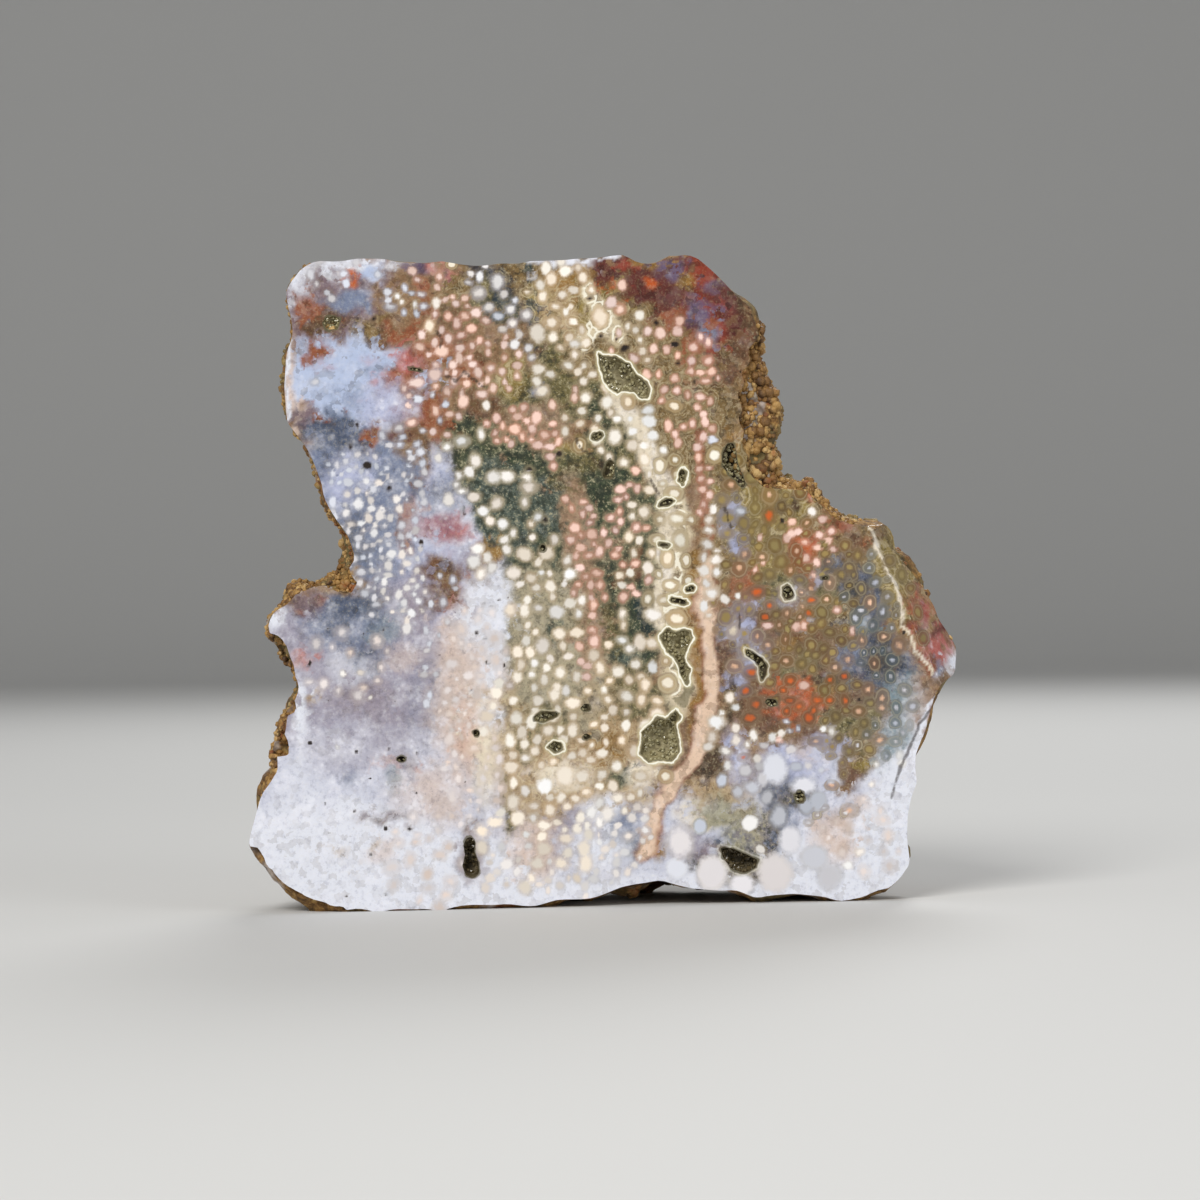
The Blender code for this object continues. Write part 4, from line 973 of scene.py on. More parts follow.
def close_block(grid, direction):
    """Extrudes the grid's edge in a direction and closes the far side."""
    work_on(grid)
    with edit_mode("EDGE", "DESELECT"):
        bpy.ops.mesh.select_non_manifold()
        extrude_edges(direction)
        bpy.ops.mesh.edge_face_add()
        face_outwards()


def make_saw_block():
    """The block that the two flat cuts leave: its front is the fine grid of the polished face."""
    width = HIGH.x - LOW.x + SAW_ROOM[0] * MM
    height = HIGH.z + SAW_ROOM[1] * MM
    block = add_grid(width, height)
    upright = Matrix.Rotation(math.radians(90), 4, "X")
    count = round(height / FACE_GRID)
    place = Matrix.Translation((0.0, LOW.y, count * FACE_GRID / 2))
    block.data.transform(place @ upright)
    close_block(block, Vector((0.0, BLOCK_DEPTH, 0.0)))
    return block


def make_facet_block():
    """What the facet takes off, with the fine grid on the side that touches the stone."""
    middle, down, slope, facing = facet_frame()
    block = add_grid(FACET_SIZE[0] * MM, FACET_SIZE[1] * MM)
    turned = Matrix((down, slope, facing)).transposed().to_4x4()
    block.data.transform(Matrix.Translation(middle) @ turned)
    close_block(block, facing * FACET_BLOCK_DEPTH * MM)
    return block


def pit_outline(number, x, y, half_width, half_height, turn):
    """A wobbly closed outline round a spot."""
    draw = random.Random(number)
    outline = []
    for i in range(PIT_POINTS):
        angle = 2 * math.pi * i / PIT_POINTS
        reach = 1.0 + draw.uniform(-PIT_WOBBLE, PIT_WOBBLE)
        along = Vector((math.cos(angle) * half_width, math.sin(angle) * half_height)) * reach
        along.rotate(Matrix.Rotation(math.radians(-turn), 2))
        outline.append((x + along.x, y + along.y))
    return outline


def all_hollows():
    """Each hollow's depth, rim whiteness, floor darkness (partly painted shade) and outline."""
    pits = [(*row[5:], pit_outline(i, *row[:5])) for i, row in enumerate(PITS)]
    return HOLLOWS + pits


def outline_plug(outline, depth, steps):
    """A closed plug with an outline, sunk in steps: the share of the depth and the size there."""
    deselect_all()
    bpy.ops.mesh.primitive_circle_add(vertices=len(outline), fill_type="NGON")
    plug = bpy.context.object
    for vert, (x, y) in zip(plug.data.vertices, outline):
        vert.co = standing(x, y, -CUTTER_START)
    centre = tuple(points_of(plug).mean(axis=0))
    with edit_mode("EDGE", "SELECT"):
        extrude((0, CUTTER_START * MM, 0))
        for share, size in steps:
            extrude((0, depth * share * MM, 0))
            bpy.ops.transform.resize(value=(size, 1.0, size), center_override=centre)
        face_outwards()
        bpy.ops.mesh.quads_convert_to_tris()
    return plug


def swell_cutter(cutter, number, swells, calm):
    """Pushes a cutter's sides out and in, less within a depth behind the face."""
    points = points_of(cutter)
    push = sum(noise_at(points, length, number + seed) * height for length, seed, height in swells)
    behind = np.clip((points[:, 1] - LOW.y) / (calm * MM), 0.0, 1.0)
    set_points(cutter, points + normals_of(cutter) * (push * behind * MM)[:, None])
    return cutter


def make_chip_cutter(number, depth, outline):
    """A rough-floored plug that takes the polish off beside the stone's edge."""
    cutter = outline_plug(outline, depth, CHIP_STEPS)
    apply_modifier(cutter, "REMESH", mode="VOXEL", voxel_size=CHIP_GRAIN)
    return swell_cutter(cutter, number, CHIP_SWELLS, CHIP_CALM)


def make_hollow_cutter(number, depth, outline):
    """A craggy plug with the hollow's outline, narrower towards its floor."""
    cutter = outline_plug(outline, depth, HOLLOW_STEPS)
    with edit_mode("EDGE", "SELECT"):
        bpy.ops.mesh.subdivide(number_cuts=1)
    return swell_cutter(cutter, number, HOLLOW_SWELLS, HOLLOW_CALM)


def cut_hollows(stone):
    for i, row in enumerate(CHIPS):
        cut(stone, make_chip_cutter(i, *row), "DIFFERENCE")
    cutters = [make_hollow_cutter(i, row[0], row[-1]) for i, row in enumerate(all_hollows())]
    cutter = join(cutters)
    apply_modifier(cutter, "REMESH", mode="VOXEL", voxel_size=HOLLOW_GRAIN)
    cut(stone, cutter, "DIFFERENCE")


def keep_in_box(piece):
    """Moves the points that lie past the solid's box back to it."""
    set_points(piece, np.clip(points_of(piece), np.array(LOW), np.array(HIGH)))


def make_stone():
    middle, _, _, facing = facet_frame()
    stone = copy_stone()
    grow_flat_side(stone, LOW, Vector((0.0, -1.0, 0.0)))
    grow_flat_side(stone, LOW, Vector((0.0, 0.0, -1.0)))
    grow_flat_side(stone, middle, facing)
    fill_old_hollows(stone)
    apply_modifier(stone, "REMESH", mode="VOXEL", voxel_size=CRUST_GRAIN)
    roughen_crust(stone)
    cut(stone, make_saw_block(), "INTERSECT")
    cut(stone, make_facet_block(), "DIFFERENCE")
    cut_hollows(stone)
    keep_in_box(stone)
    work_on(stone)
    bpy.ops.object.shade_smooth_by_angle(angle=SMOOTH_ANGLE)
    return stone


# The small knobs on the crust and the crystals in the hollows.

def crust_faces(stone):
    """The middles, normals and areas of the stone's faces, and which are natural crust."""
    faces = stone.data.polygons
    middles = read(faces, "center", 3)
    face_gap, ground_gap, facet_gap = CRUST_GAPS
    natural = (middles[:, 1] > LOW.y + face_gap) & (middles[:, 2] > ground_gap)
    natural &= off_facet(middles) > facet_gap
    return middles, read(faces, "normal", 3), read(faces, "area", 1)[:, 0], natural


def knob_shapes():
    """A few irregular round knobs of radius 1, then a few clumps of grains."""
    shapes = []
    span, shift, swell = KNOB_WAVES
    for number in range(KNOB_SHAPES):
        knob = add_ball(2)
        points = points_of(knob)
        away = Vector((number * shift, 0, 0))
        waves = np.array([noise.noise(Vector(p) * span + away) for p in points])
        set_points(knob, points * (1.0 + swell * waves)[:, None])
        store_traits(knob, points[:, 2])
        shapes.append(knob)
    for number in range(CLUMP_SHAPES):
        shapes.append(make_clump(random.Random(number + CLUMP_SEED)))
    return shapes


def make_clump(draw):
    """Small grains that grow together: one in the middle and the others round its foot."""
    grains = []
    for number in range(CLUMP_GRAINS):
        grain = add_ball(1)
        angle = number * CLUMP_ANGLE + draw.uniform(-0.5, 0.5)
        off = 0.0 if number == 0 else draw.uniform(0.55, 0.8)
        height = 0.35 if number == 0 else -0.1
        place = Vector((math.cos(angle) * off, math.sin(angle) * off, height))
        turn = Matrix.Rotation(draw.uniform(*SPINS), 4, "Z")
        turn = turn @ Matrix.Rotation(draw.uniform(0, 3.1), 4, "X")
        size = Matrix.Scale(draw.uniform(0.5, 0.75), 4)
        grain.data.transform(Matrix.Translation(place) @ turn @ size)
        store_traits(grain, points_of(grain)[:, 2])
        grains.append(grain)
    return join(grains)


def crystal_shape():
    """A six-sided prism with a point, of radius 1, along z."""
    deselect_all()
    middle = (0.0, 0.0, CRYSTAL_SHAFT / 2)
    bpy.ops.mesh.primitive_cylinder_add(vertices=6, radius=1.0, depth=CRYSTAL_SHAFT, location=middle)
    crystal = bpy.context.object
    bpy.ops.object.transform_apply(location=True, rotation=False, scale=False)
    for face in crystal.data.polygons:
        face.select = face.center.z > CRYSTAL_SHAFT - 0.1
    for items in (crystal.data.vertices, crystal.data.edges):
        items.foreach_set("select", [False] * len(items))
    with edit_mode("FACE"):
        extrude((0.0, 0.0, CRYSTAL_POINT))
        bpy.ops.mesh.merge(type="CENTER")
    store_traits(crystal, points_of(crystal)[:, 2] / CRYSTAL_LENGTH)
    return crystal


def copy_onto(shape, place, normal, spin, size, tone):
    """A copy of a shape, its own mesh, set on a place with its z along the normal."""
    copy = bpy.data.objects.new(shape.name, shape.data.copy())
    bpy.context.scene.collection.objects.link(copy)
    turn = Vector(normal).to_track_quat("Z", "Y").to_matrix().to_4x4()
    turn = turn @ Matrix.Rotation(spin, 4, "Z") @ Matrix.Diagonal((*size, 1.0))
    copy.data.transform(Matrix.Translation(place) @ turn)
    copy.data.attributes["tone"].data.foreach_set("value", [tone] * len(copy.data.vertices))
    return copy


def join_copies(name, copies, shapes):
    """Joins the copies to one named piece and takes the shapes away."""
    joined = join(copies)
    joined.name = name
    for shape in shapes:
        bpy.data.objects.remove(shape)
    return joined


def in_box(place, room):
    fits = LOW.x + room < place.x < HIGH.x - room and room < place.z < HIGH.z - room
    return fits and place.y <= HIGH.y - room


def grow_knobs(stone):
    """Small round knobs that stand close together on the crust."""
    draw = random.Random(KNOB_SEED)
    middles, normals, areas, natural = crust_faces(stone)
    spots = spots_of(middles)
    depths = depths_of(middles)
    shapes = knob_shapes()
    copies = []
    for *area, count, reach, radii in KNOBS:
        there = natural & (in_ellipse(spots, *area) > 0) & (depths > reach[0]) & (depths < reach[1])
        for i in draw.choices(list(np.flatnonzero(there)), weights=areas[there], k=count):
            radius = draw.uniform(*radii) * MM
            normal = Vector(normals[i])
            place = Vector(middles[i]) - normal * radius * draw.uniform(*KNOB_SINK)
            place.y = max(place.y, LOW.y + radius * FACE_ROOM)
            if not in_box(place, radius * BOX_ROOM):
                continue
            size = Vector([draw.uniform(*r) for r in (KNOB_WIDTHS, KNOB_WIDTHS, KNOB_HEIGHTS)])
            some = shapes[KNOB_SHAPES:] if radius > LARGEST_ROUND else shapes
            copies.append(copy_onto(draw.choice(some), place, normal, draw.uniform(*SPINS),
                                    size * radius, draw.random()))
    return join_copies("crust_knobs", copies, shapes)


def grow_crystals(stone):
    """Small quartz crystals on the walls and the floors of the hollows."""
    draw = random.Random(CRYSTAL_SEED)
    middles, normals, areas, natural = crust_faces(stone)
    spots = spots_of(middles)
    depths = depths_of(middles)
    inside = np.zeros(len(middles), bool)
    near = np.flatnonzero(natural & (depths < CRYSTAL_DEPTHS[1]))
    for *_, outline in all_hollows():
        inside[near] |= is_inside(spots[near], outline)
    inside &= depths > CRYSTAL_DEPTHS[0]
    shape = crystal_shape()
    copies = []
    for i in draw.choices(list(np.flatnonzero(inside)), weights=areas[inside], k=CRYSTAL_COUNT):
        radius = draw.uniform(*CRYSTAL_RADII) * MM
        normal = Vector(normals[i])
        lean = Vector([draw.uniform(-1, 1) for _ in range(3)]) * CRYSTAL_LEAN
        length = draw.uniform(*CRYSTAL_LENGTHS)
        place = Vector(middles[i]) - normal * radius * CRYSTAL_SINK
        room = (middles[i][1] - LOW.y) / (CRYSTAL_LENGTH * radius * length)
        size = Vector((radius, radius, radius * length * min(1.0, max(room, SHORTEST_CRYSTAL))))
        copies.append(copy_onto(shape, place, normal + lean, draw.uniform(0, 1), size, draw.random()))
    return join_copies("druzy_quartz", copies, [shape])


# The face's pattern.

def soft_step(values, low, high):
    share = np.clip((values - low) / (high - low), 0.0, 1.0)
    return share * share * (3.0 - 2.0 * share)


def in_ellipse(spots, x, y, half_width, half_height, turn=0.0):
    """How far each spot lies within an ellipse, in steps of the picture: negative outside."""
    angle = math.radians(turn)
    dx = spots[:, 0] - x
    dy = spots[:, 1] - y
    along = (dx * math.cos(angle) - dy * math.sin(angle)) / half_width
    across = (dx * math.sin(angle) + dy * math.cos(angle)) / half_height
    return (1.0 - np.hypot(along, across)) * min(half_width, half_height)


def line_distance(spots, line, closed=False):
    """The distance of each spot from a line through some spots."""
    nearest = np.full(len(spots), np.inf)
    for start, end in zip(line, line[1:] + line[:1] if closed else line[1:]):
        start = np.array(start, float)
        run = np.array(end, float) - start
        share = np.clip(((spots - start) @ run) / (run @ run), 0.0, 1.0)
        gap = spots - start - share[:, None] * run
        nearest = np.minimum(nearest, np.hypot(gap[:, 0], gap[:, 1]))
    return nearest


def is_inside(spots, outline):
    """Which spots lie within a closed outline."""
    inside = np.zeros(len(spots), bool)
    for (x0, y0), (x1, y1) in zip(outline, outline[1:] + outline[:1]):
        if y0 == y1:
            continue
        crosses = (y0 > spots[:, 1]) != (y1 > spots[:, 1])
        at = x0 + (spots[:, 1] - y0) * (x1 - x0) / (y1 - y0)
        inside ^= crosses & (spots[:, 0] < at)
    return inside


def linear(colour):
    """A colour as it looks, as the linear light that materials use."""
    return [c / 12.92 if c <= 0.04045 else ((c + 0.055) / 1.055) ** 2.4 for c in colour]


def wobbled(spots, waves):
    """The spots moved about by noise: how far, and over what distance, both in picture steps."""
    moved = spots.copy()
    for reach, length in waves:
        places = [Vector((x / length, y / length, reach)) for x, y in spots]
        moves = np.array([noise.noise_vector(place)[:2] for place in places])
        moved += moves * reach
    return moved


def ground_row(name):
    colour, *traits = GROUNDS[name]
    return np.array([*linear(colour), *traits])


def paint_ground(spots, drift):
    """The ground's colour and its three traits at each spot, with its patches made to drift."""
    seam_spots = wobbled(spots, GROUND_WAVES)
    spots = wobbled(seam_spots, drift)
    ground = np.tile(ground_row(BASE_GROUND), (len(spots), 1))

    def lay(name, weight):
        ground[:] += (ground_row(name) - ground) * weight[:, None]

    for name, *ellipse in PATCHES:
        milky = GROUNDS[name][3]
        most, share = (clear + more * milky for clear, more in (MOST_EDGE, EDGE_SHARE))
        edge = max(LEAST_EDGE, min(most, share * min(ellipse[2:4])))
        lay(name, soft_step(in_ellipse(spots, *ellipse), -edge, edge))
    for name, strength, *ellipse in TINGES:
        full = TINGE_FADE * min(ellipse[2:4])
        lay(name, soft_step(in_ellipse(spots, *ellipse), 0.0, full) * strength)
    for name, half_width, line in SEAMS:
        low, high = (half_width * share for share in SEAM_EDGE)
        lay(name, 1.0 - soft_step(line_distance(seam_spots, line), low, high))
    return ground


def flow_angle(y):
    """Which way the strings of orbs run at a height of the picture, as an angle from straight down."""
    return math.radians(FLOW_ANGLE - FLOW_BEND * (y - FLOW_TOP))


def strew_orbs():
    """All orbs: the landmarks, and the strewn strings of them where there is room."""
    draw = random.Random(STREW_SEED)
    orbs = [(kind, *row) for kind, rows in LANDMARKS.items() for row in rows]
    centres = np.array([(x, y, r) for _, x, y, r in orbs], float)
    for kind, x, y, half_width, half_height, turn, gap, string, scarce in STREWS:
        for _ in range(STREW_TRIES):
            reach = math.sqrt(draw.random())
            angle = draw.uniform(0, 2 * math.pi)
            spot = Vector((math.cos(angle) * half_width, math.sin(angle) * half_height)) * reach
            spot.rotate(Matrix.Rotation(math.radians(-turn), 2))
            spot += Vector((x, y))
            crowd = noise.noise(Vector((spot.x / CROWD_SPAN, spot.y / CROWD_SPAN, 0.0)))
            if crowd < draw.uniform(*CROWD_EDGE) + scarce:
                continue
            made = []
            for _ in range(draw.randint(1, string)):
                radius = draw.uniform(*ORBS[kind][-1]) * draw.uniform(*STREW_SIZES)
                room = np.hypot(centres[:, 0] - spot.x, centres[:, 1] - spot.y) - centres[:, 2]
                if room.min() < radius + gap:
                    break
                made.append((spot.x, spot.y, radius))
                run = flow_angle(spot.y) + draw.uniform(-STRING_SPREAD, STRING_SPREAD)
                spot = spot + Vector((math.sin(run), math.cos(run))) * radius * 2 * STRING_STEP
            if made:
                orbs.extend((kind, *orb) for orb in made)
                centres = np.append(centres, made, axis=0)
    return orbs


def paint_orbs(spots, orbs, ground):
    """The squared share of the nearest orb's radius, the gap to it, and its colours at each spot."""
    draw = random.Random(STREW_SEED + 1)
    spots = wobbled(spots, ORB_WAVES)
    share = np.full(len(spots), NO_ORB)
    gap = np.full(len(spots), FAR)
    core = np.zeros((len(spots), 4))
    ring = np.zeros((len(spots), 4))
    for kind, x, y, radius in orbs:
        core_tint, ring_tint, reach, outline, _ = ORBS[kind]
        bright = draw.uniform(*BRIGHTNESS)
        warm = draw.uniform(*WARMTH)
        light = np.array((1.0, (1.0 + warm) / 2, warm)) * bright
        squash = draw.uniform(*SQUASH)
        dx = (spots[:, 0] - x) * squash
        dy = (spots[:, 1] - y) / squash
        near = np.flatnonzero((np.abs(dx) < radius * ORB_REACH) & (np.abs(dy) < radius * ORB_REACH))
        squared = (dx[near] ** 2 + dy[near] ** 2) / radius ** 2
        nearer = squared < share[near]
        own = near[nearer]
        share[own] = squared[nearer]
        core[own] = (*(light * linear(core_tint)), reach * draw.uniform(*CORE_SPREAD))
        around = ground[own, :3].mean(axis=0) if len(own) else np.zeros(3)
        mixed = np.array(linear(ring_tint)) * (1.0 - GROUND_SHARE) + around * GROUND_SHARE
        ring[own] = (*(mixed * light), outline * draw.uniform(*OUTLINE_SPREAD))
        gap[near] = np.minimum(gap[near], (np.sqrt(squared) - 1.0) * radius)
    return share, gap * PICTURE_MM, core, ring


def hollow_distance(spots):
    """Distance to the nearest hollow, negative inside it, its rim and its floor's partly painted
    shade.
    """
    nearest = np.full(len(spots), FAR)
    rim = np.zeros(len(spots))
    floor = np.zeros(len(spots))
    for _, white, dark, outline in all_hollows():
        signed = line_distance(spots, outline, closed=True)
        signed[is_inside(spots, outline)] *= -1.0
        rim[signed < nearest] = white
        floor[signed < nearest] = dark
        nearest = np.minimum(nearest, signed)
    return nearest * PICTURE_MM, rim, floor


def crack_distance(spots):
    spots = wobbled(spots, CRACK_WAVES)
    nearest = np.full(len(spots), FAR)
    for crack in CRACKS:
        nearest = np.minimum(nearest, line_distance(spots, crack))
    return nearest * PICTURE_MM


def paint_face(stone):
    """Works out the pattern on the polished sides and keeps it on the mesh."""
    points = points_of(stone)
    spots = spots_of(points)
    flat = np.flatnonzero((points[:, 1] < LOW.y + PATTERN_DEPTH) | (off_facet(points) < FLAT_GAP))
    front = np.flatnonzero(points[:, 1] < LOW.y + HOLLOWS_DEPTH)

    def keep(name, where, values, elsewhere):
        """Stores values that hold at some points, and one value at all others."""
        full = np.full((len(points), *values.shape[1:]), elsewhere, float)
        full[where] = values
        store(stone, name, full)

    def keep_colour(name, ground):
        opaque = np.column_stack((ground[:, :3], np.ones(len(ground))))
        keep(name, flat, opaque, (*ground_row(BASE_GROUND)[:3], 1.0))

    orbs = strew_orbs()
    ground = paint_ground(spots[flat], [])
    keep_colour("ground", ground)
    keep_colour("strayed", paint_ground(spots[flat], GROUND_DRIFT))
    for i, name in enumerate(("mossy", "lined", "cloudy"), 3):
        keep(name, flat, ground[:, i], ground_row(BASE_GROUND)[i])
    share, gap, core, ring = paint_orbs(spots[flat], orbs, ground)
    keep("orb", flat, share, NO_ORB)
    keep("orb_gap", flat, gap, FAR)
    keep("orb_core", flat, core, 1.0)
    keep("orb_ring", flat, ring, 1.0)
    rim, rim_white, floor_dark = hollow_distance(spots[front])
    keep("rim", front, rim, FAR)
    keep("rim_white", front, rim_white, 0.0)
    keep("floor_dark", front, floor_dark, 0.0)
    keep("crack", flat, crack_distance(spots[flat]), FAR)


# Materials.

class Number:
    """A number that comes out of a node. Arithmetic with it adds Math nodes."""

    def __init__(self, finish, socket):
        self.finish = finish
        self.socket = socket

    def maths(self, operation, *values):
        return self.finish.node("ShaderNodeMath", {"operation": operation}, dict(enumerate(values)))

    def __add__(self, other):
        return self.maths("ADD", self, other)

    __radd__ = __add__

    def __sub__(self, other):
        return self.maths("SUBTRACT", self, other)

    def __rsub__(self, other):
        return self.maths("SUBTRACT", other, self)

    def __mul__(self, other):
        return self.maths("MULTIPLY", self, other)

    __rmul__ = __mul__

    def __truediv__(self, other):
        return self.maths("DIVIDE", self, other)

    def __pow__(self, other):
        return self.maths("POWER", self, other)

    def __abs__(self):
        return self.maths("ABSOLUTE", self)


class Finish:
    """A material and the nodes that it is made of."""

    def __init__(self, name):
        self.material = bpy.data.materials.new(name)
        self.material.use_nodes = True
        self.tree = self.material.node_tree
        self.shader = self.tree.nodes["Principled BSDF"]

    def node(self, kind, settings, values, output=0):
        """Adds a node: its settings first, then its sockets' values or links. Gives one output."""
        made = self.tree.nodes.new(kind)
        for name, value in settings.items():
            setattr(made, name, value)
        for name, value in values.items():
            self.put(made.inputs[name], value)
        return Number(self, made.outputs[output])

    def put(self, socket, value):
        if isinstance(value, Number):
            self.tree.links.new(value.socket, socket)
        else:
            socket.default_value = value

    def set(self, name, value):
        """Sets or links an input of the material's shader."""
        self.put(self.shader.inputs[name], value)

    def ramp(self, stops, value):
        """The colour at a number on a ramp of colours as they look."""
        made = self.node("ShaderNodeValToRGB", {}, {0: value})
        elements = made.socket.node.color_ramp.elements
        elements.remove(elements[-1])
        for i, (position, colour) in enumerate(stops):
            element = elements[0] if i == 0 else elements.new(position)
            element.position = position
            element.color = tint(*colour)
        return made

    def attribute(self, name, output="Fac"):
        return self.node("ShaderNodeAttribute", {"attribute_name": name}, {}, output)

    def part(self, vector, axis):
        return self.node("ShaderNodeSeparateXYZ", {}, {0: vector}, axis)

    def place(self):
        """The place on the piece, in millimetres."""
        at = self.node("ShaderNodeTexCoord", {}, {}, "Object")
        return self.node("ShaderNodeVectorMath", {"operation": "SCALE"}, {0: at, "Scale": 1 / MM})

    def noise(self, place, length, detail=2.0, roughness=0.5, distortion=0.0):
        """Noise from 0 to 1 over a length in millimetres."""
        values = {"Vector": place, "Scale": 1 / length, "Detail": detail, "Roughness": roughness}
        values["Distortion"] = distortion
        return self.node("ShaderNodeTexNoise", {}, values)

    def cells(self, place, size, output=0):
        """How far it is to the middle of the nearest cell, or that cell's own colour."""
        return self.node("ShaderNodeTexVoronoi", {}, {"Vector": place, "Scale": 1 / size}, output)

    def step(self, value, low, high):
        """0 below the first bound and 1 above the second, with a smooth way between."""
        settings = {"interpolation_type": "SMOOTHSTEP"}
        return self.node("ShaderNodeMapRange", settings, {0: value, 1: low, 2: high})

    def band(self, value, middle, half_width):
        """1 at the middle, and 0 half a width away from it."""
        return 1 - self.step(abs(value - middle), half_width * 0.4, half_width)

    def mix(self, share, first, second, blend="MIX"):
        """Two colours mixed by a share."""
        settings = {"data_type": "RGBA", "blend_type": blend}
        return self.node("ShaderNodeMix", settings, {0: share, 6: first, 7: second}, 2)

    def bump(self, height, strength, distance):
        """Sets the shader's normal from a height, in millimetres at most."""
        values = {"Strength": strength, "Distance": distance * MM, "Height": height}
        self.set("Normal", self.node("ShaderNodeBump", {}, values))


class Paint:
    """A colour that is built up in layers."""

    def __init__(self, finish, colour):
        self.finish = finish
        self.colour = colour

    def lay(self, share, colour, blend="MIX"):
        """Lays a colour over what is there by a share. A tuple is a colour as it looks."""
        if isinstance(colour, tuple):
            colour = tint(*colour)
        self.colour = self.finish.mix(share, self.colour, colour, blend)

    def lay_rows(self, rows, noises, traits):
        """Lays the layers of a table over each other."""
        for name, low, high, trait, strength, always, colour, blend in rows:
            spots = self.finish.step(noises[name], low, high)
            self.lay(spots * (traits[trait] * strength + always), colour, blend)

    def lay_areas(self, areas, place):
        """Lays areas of colour that noise picks over each other."""
        for wave, low, high, strength, colour in areas:
            spots = self.finish.step(self.finish.noise(place, *wave), low, high)
            self.lay(spots * strength, colour)


def tint(*colour):
    """A colour as it looks, ready for a colour socket."""
    return (*linear(colour), 1.0)


def lay_ground(paint, place, noises, traits):
    """The ground: strayed bits, small bent tiles, clouds, grain and moss."""
    finish = paint.finish
    cloudy = traits["cloudy"]
    lined = traits["lined"]
    strayed = finish.attribute("strayed", "Color")
    paint.lay(finish.step(noises["stray"], 0.53, 0.60) * 0.85, strayed)
    # The tiles: some take the neighbouring colour too, others are darker or paler.
    bends = {"Vector": place, "Scale": 1 / TILE_BENDS, "Detail": 3.0}
    bend = finish.node("ShaderNodeTexNoise", {}, bends, "Color")
    bent = finish.node("ShaderNodeVectorMath", {"operation": "MULTIPLY_ADD"},
                       {0: bend, 1: TILE_BEND, 2: place})
    tiles = finish.cells(bent, TILE_SIZE, "Color")
    first = finish.part(tiles, "X")
    second = finish.part(tiles, "Y")
    plain = 1 - 0.85 * cloudy
    paint.lay(finish.step(first, 0.62, 0.70) * 0.85 * plain, strayed)
    paint.lay(finish.step(second, 0.40, 0.05) * 0.60 * plain, (0.60, 0.55, 0.50), "MULTIPLY")
    paint.lay(finish.step(second, 0.72, 0.98) * 0.35 * plain * lined, (0.80, 0.75, 0.66))
    # Clouds in the milky areas with soft beads in them, and grain in the others.
    paint.lay_rows(CLOUD_LAYERS, noises, traits)
    beads = finish.step(finish.cells(place, BEAD_SIZE) + (noises["fine"] - 0.5) * 0.4, 0.45, 0.10)
    beads = beads * cloudy * finish.step(noises["broad"], 0.40, 0.62)
    paint.lay(beads * 0.40, (0.96, 0.96, 0.99))
    paint.lay_rows(GRAIN_LAYERS, noises, traits)
    # Pale grains in the moss.
    grains = finish.step(noises["mottle"] + (noises["grit"] - 0.5) * 0.6, 0.53, 0.72)
    paint.lay(grains * traits["mossy"] * 0.70, (0.72, 0.69, 0.56))


def lay_contours(paint, noises, traits):
    """A pale halo round the orbs, contours at two distances, and white lines in the chain."""
    finish = paint.finish
    broad = noises["broad"]
    gap = finish.attribute("orb_gap") + (noises["fine"] - 0.5) * 0.5
    halo = (1 - finish.step(gap, -0.1, 0.6)) * (0.14 + 0.22 * traits["mossy"])
    paint.lay(halo * (1 - traits["cloudy"]), (0.74, 0.67, 0.53))
    traced = finish.step(traits["lined"], 0.4, 0.9)
    inner = finish.band(gap, 0.30, 0.14) * traced * finish.step(broad, 0.38, 0.56)
    outer = finish.band(gap, 0.72, 0.12) * traced * finish.step(broad, 0.60, 0.42)
    paint.lay(inner * 0.45, (0.84, 0.78, 0.64))
    paint.lay(outer * 0.35, (0.82, 0.76, 0.62))
    chain = finish.step(traits["lined"], 0.90, 1.0)
    paint.lay(finish.band(gap, 0.34, 0.22) * chain * 0.85, (0.97, 0.95, 0.88))
    crevice = finish.step(gap + (broad - 0.5) * 1.6, 0.80, 1.0) * chain
    paint.lay(crevice * 0.7, (0.42, 0.39, 0.27))


def lay_orbs(paint, noises, traits):
    """Orbs: a core that fades into its ring, the ring into the ground, and an outline on some."""
    finish = paint.finish
    share = finish.attribute("orb") ** 0.5
    reach = finish.attribute("orb_core", "Alpha")
    outline = finish.attribute("orb_ring", "Alpha")
    crisp = finish.step(outline, 0.0, 0.35)
    uneven = share + (noises["fine"] - 0.5) * (0.55 - 0.35 * crisp)
    edge = finish.step((uneven - 1.0) / (0.24 - 0.16 * crisp), -1.0, 1.0)
    veil = 0.85 - 0.60 * traits["cloudy"] * (1 - crisp)
    paint.lay((1 - edge) * veil, finish.attribute("orb_ring", "Color"))
    heart = finish.step((uneven - reach) / (0.26 - 0.12 * crisp), 1.0, -1.0)
    paint.lay(heart, finish.attribute("orb_core", "Color"))
    paint.lay(finish.band(share, 0.84, 0.13) * outline * 0.70, (0.74, 0.70, 0.58))
    paint.lay(finish.band(share, 1.02, 0.14) * outline * 0.45, (0.26, 0.21, 0.14))


def lay_rims(paint, noises):
    """Cracks, and the rims of the hollows: a cream halo, a scalloped white line, and painted shade at
    the mouth.
    """
    finish = paint.finish
    crack = 1 - finish.step(finish.attribute("crack"), 0.08, 0.36)
    paint.lay(crack * 0.75, (0.20, 0.15, 0.12))
    white = finish.attribute("rim_white")
    rim = finish.attribute("rim") + (noises["fine"] - 0.5) * 0.2 + (noises["scallop"] - 0.5) * 0.7
    paint.lay((1 - finish.step(rim, 0.3, 0.9)) * white * 0.7, (0.84, 0.80, 0.64))
    paint.lay(finish.band(rim, 0.32, 0.14) * white, (0.97, 0.96, 0.90))
    # Painted shade: a dark band on the polish along each hollow's mouth, as if shade fell over the
    # lip.
    paint.lay((1 - finish.step(rim, 0.06, 0.22)) * 0.85, (0.36, 0.34, 0.25))


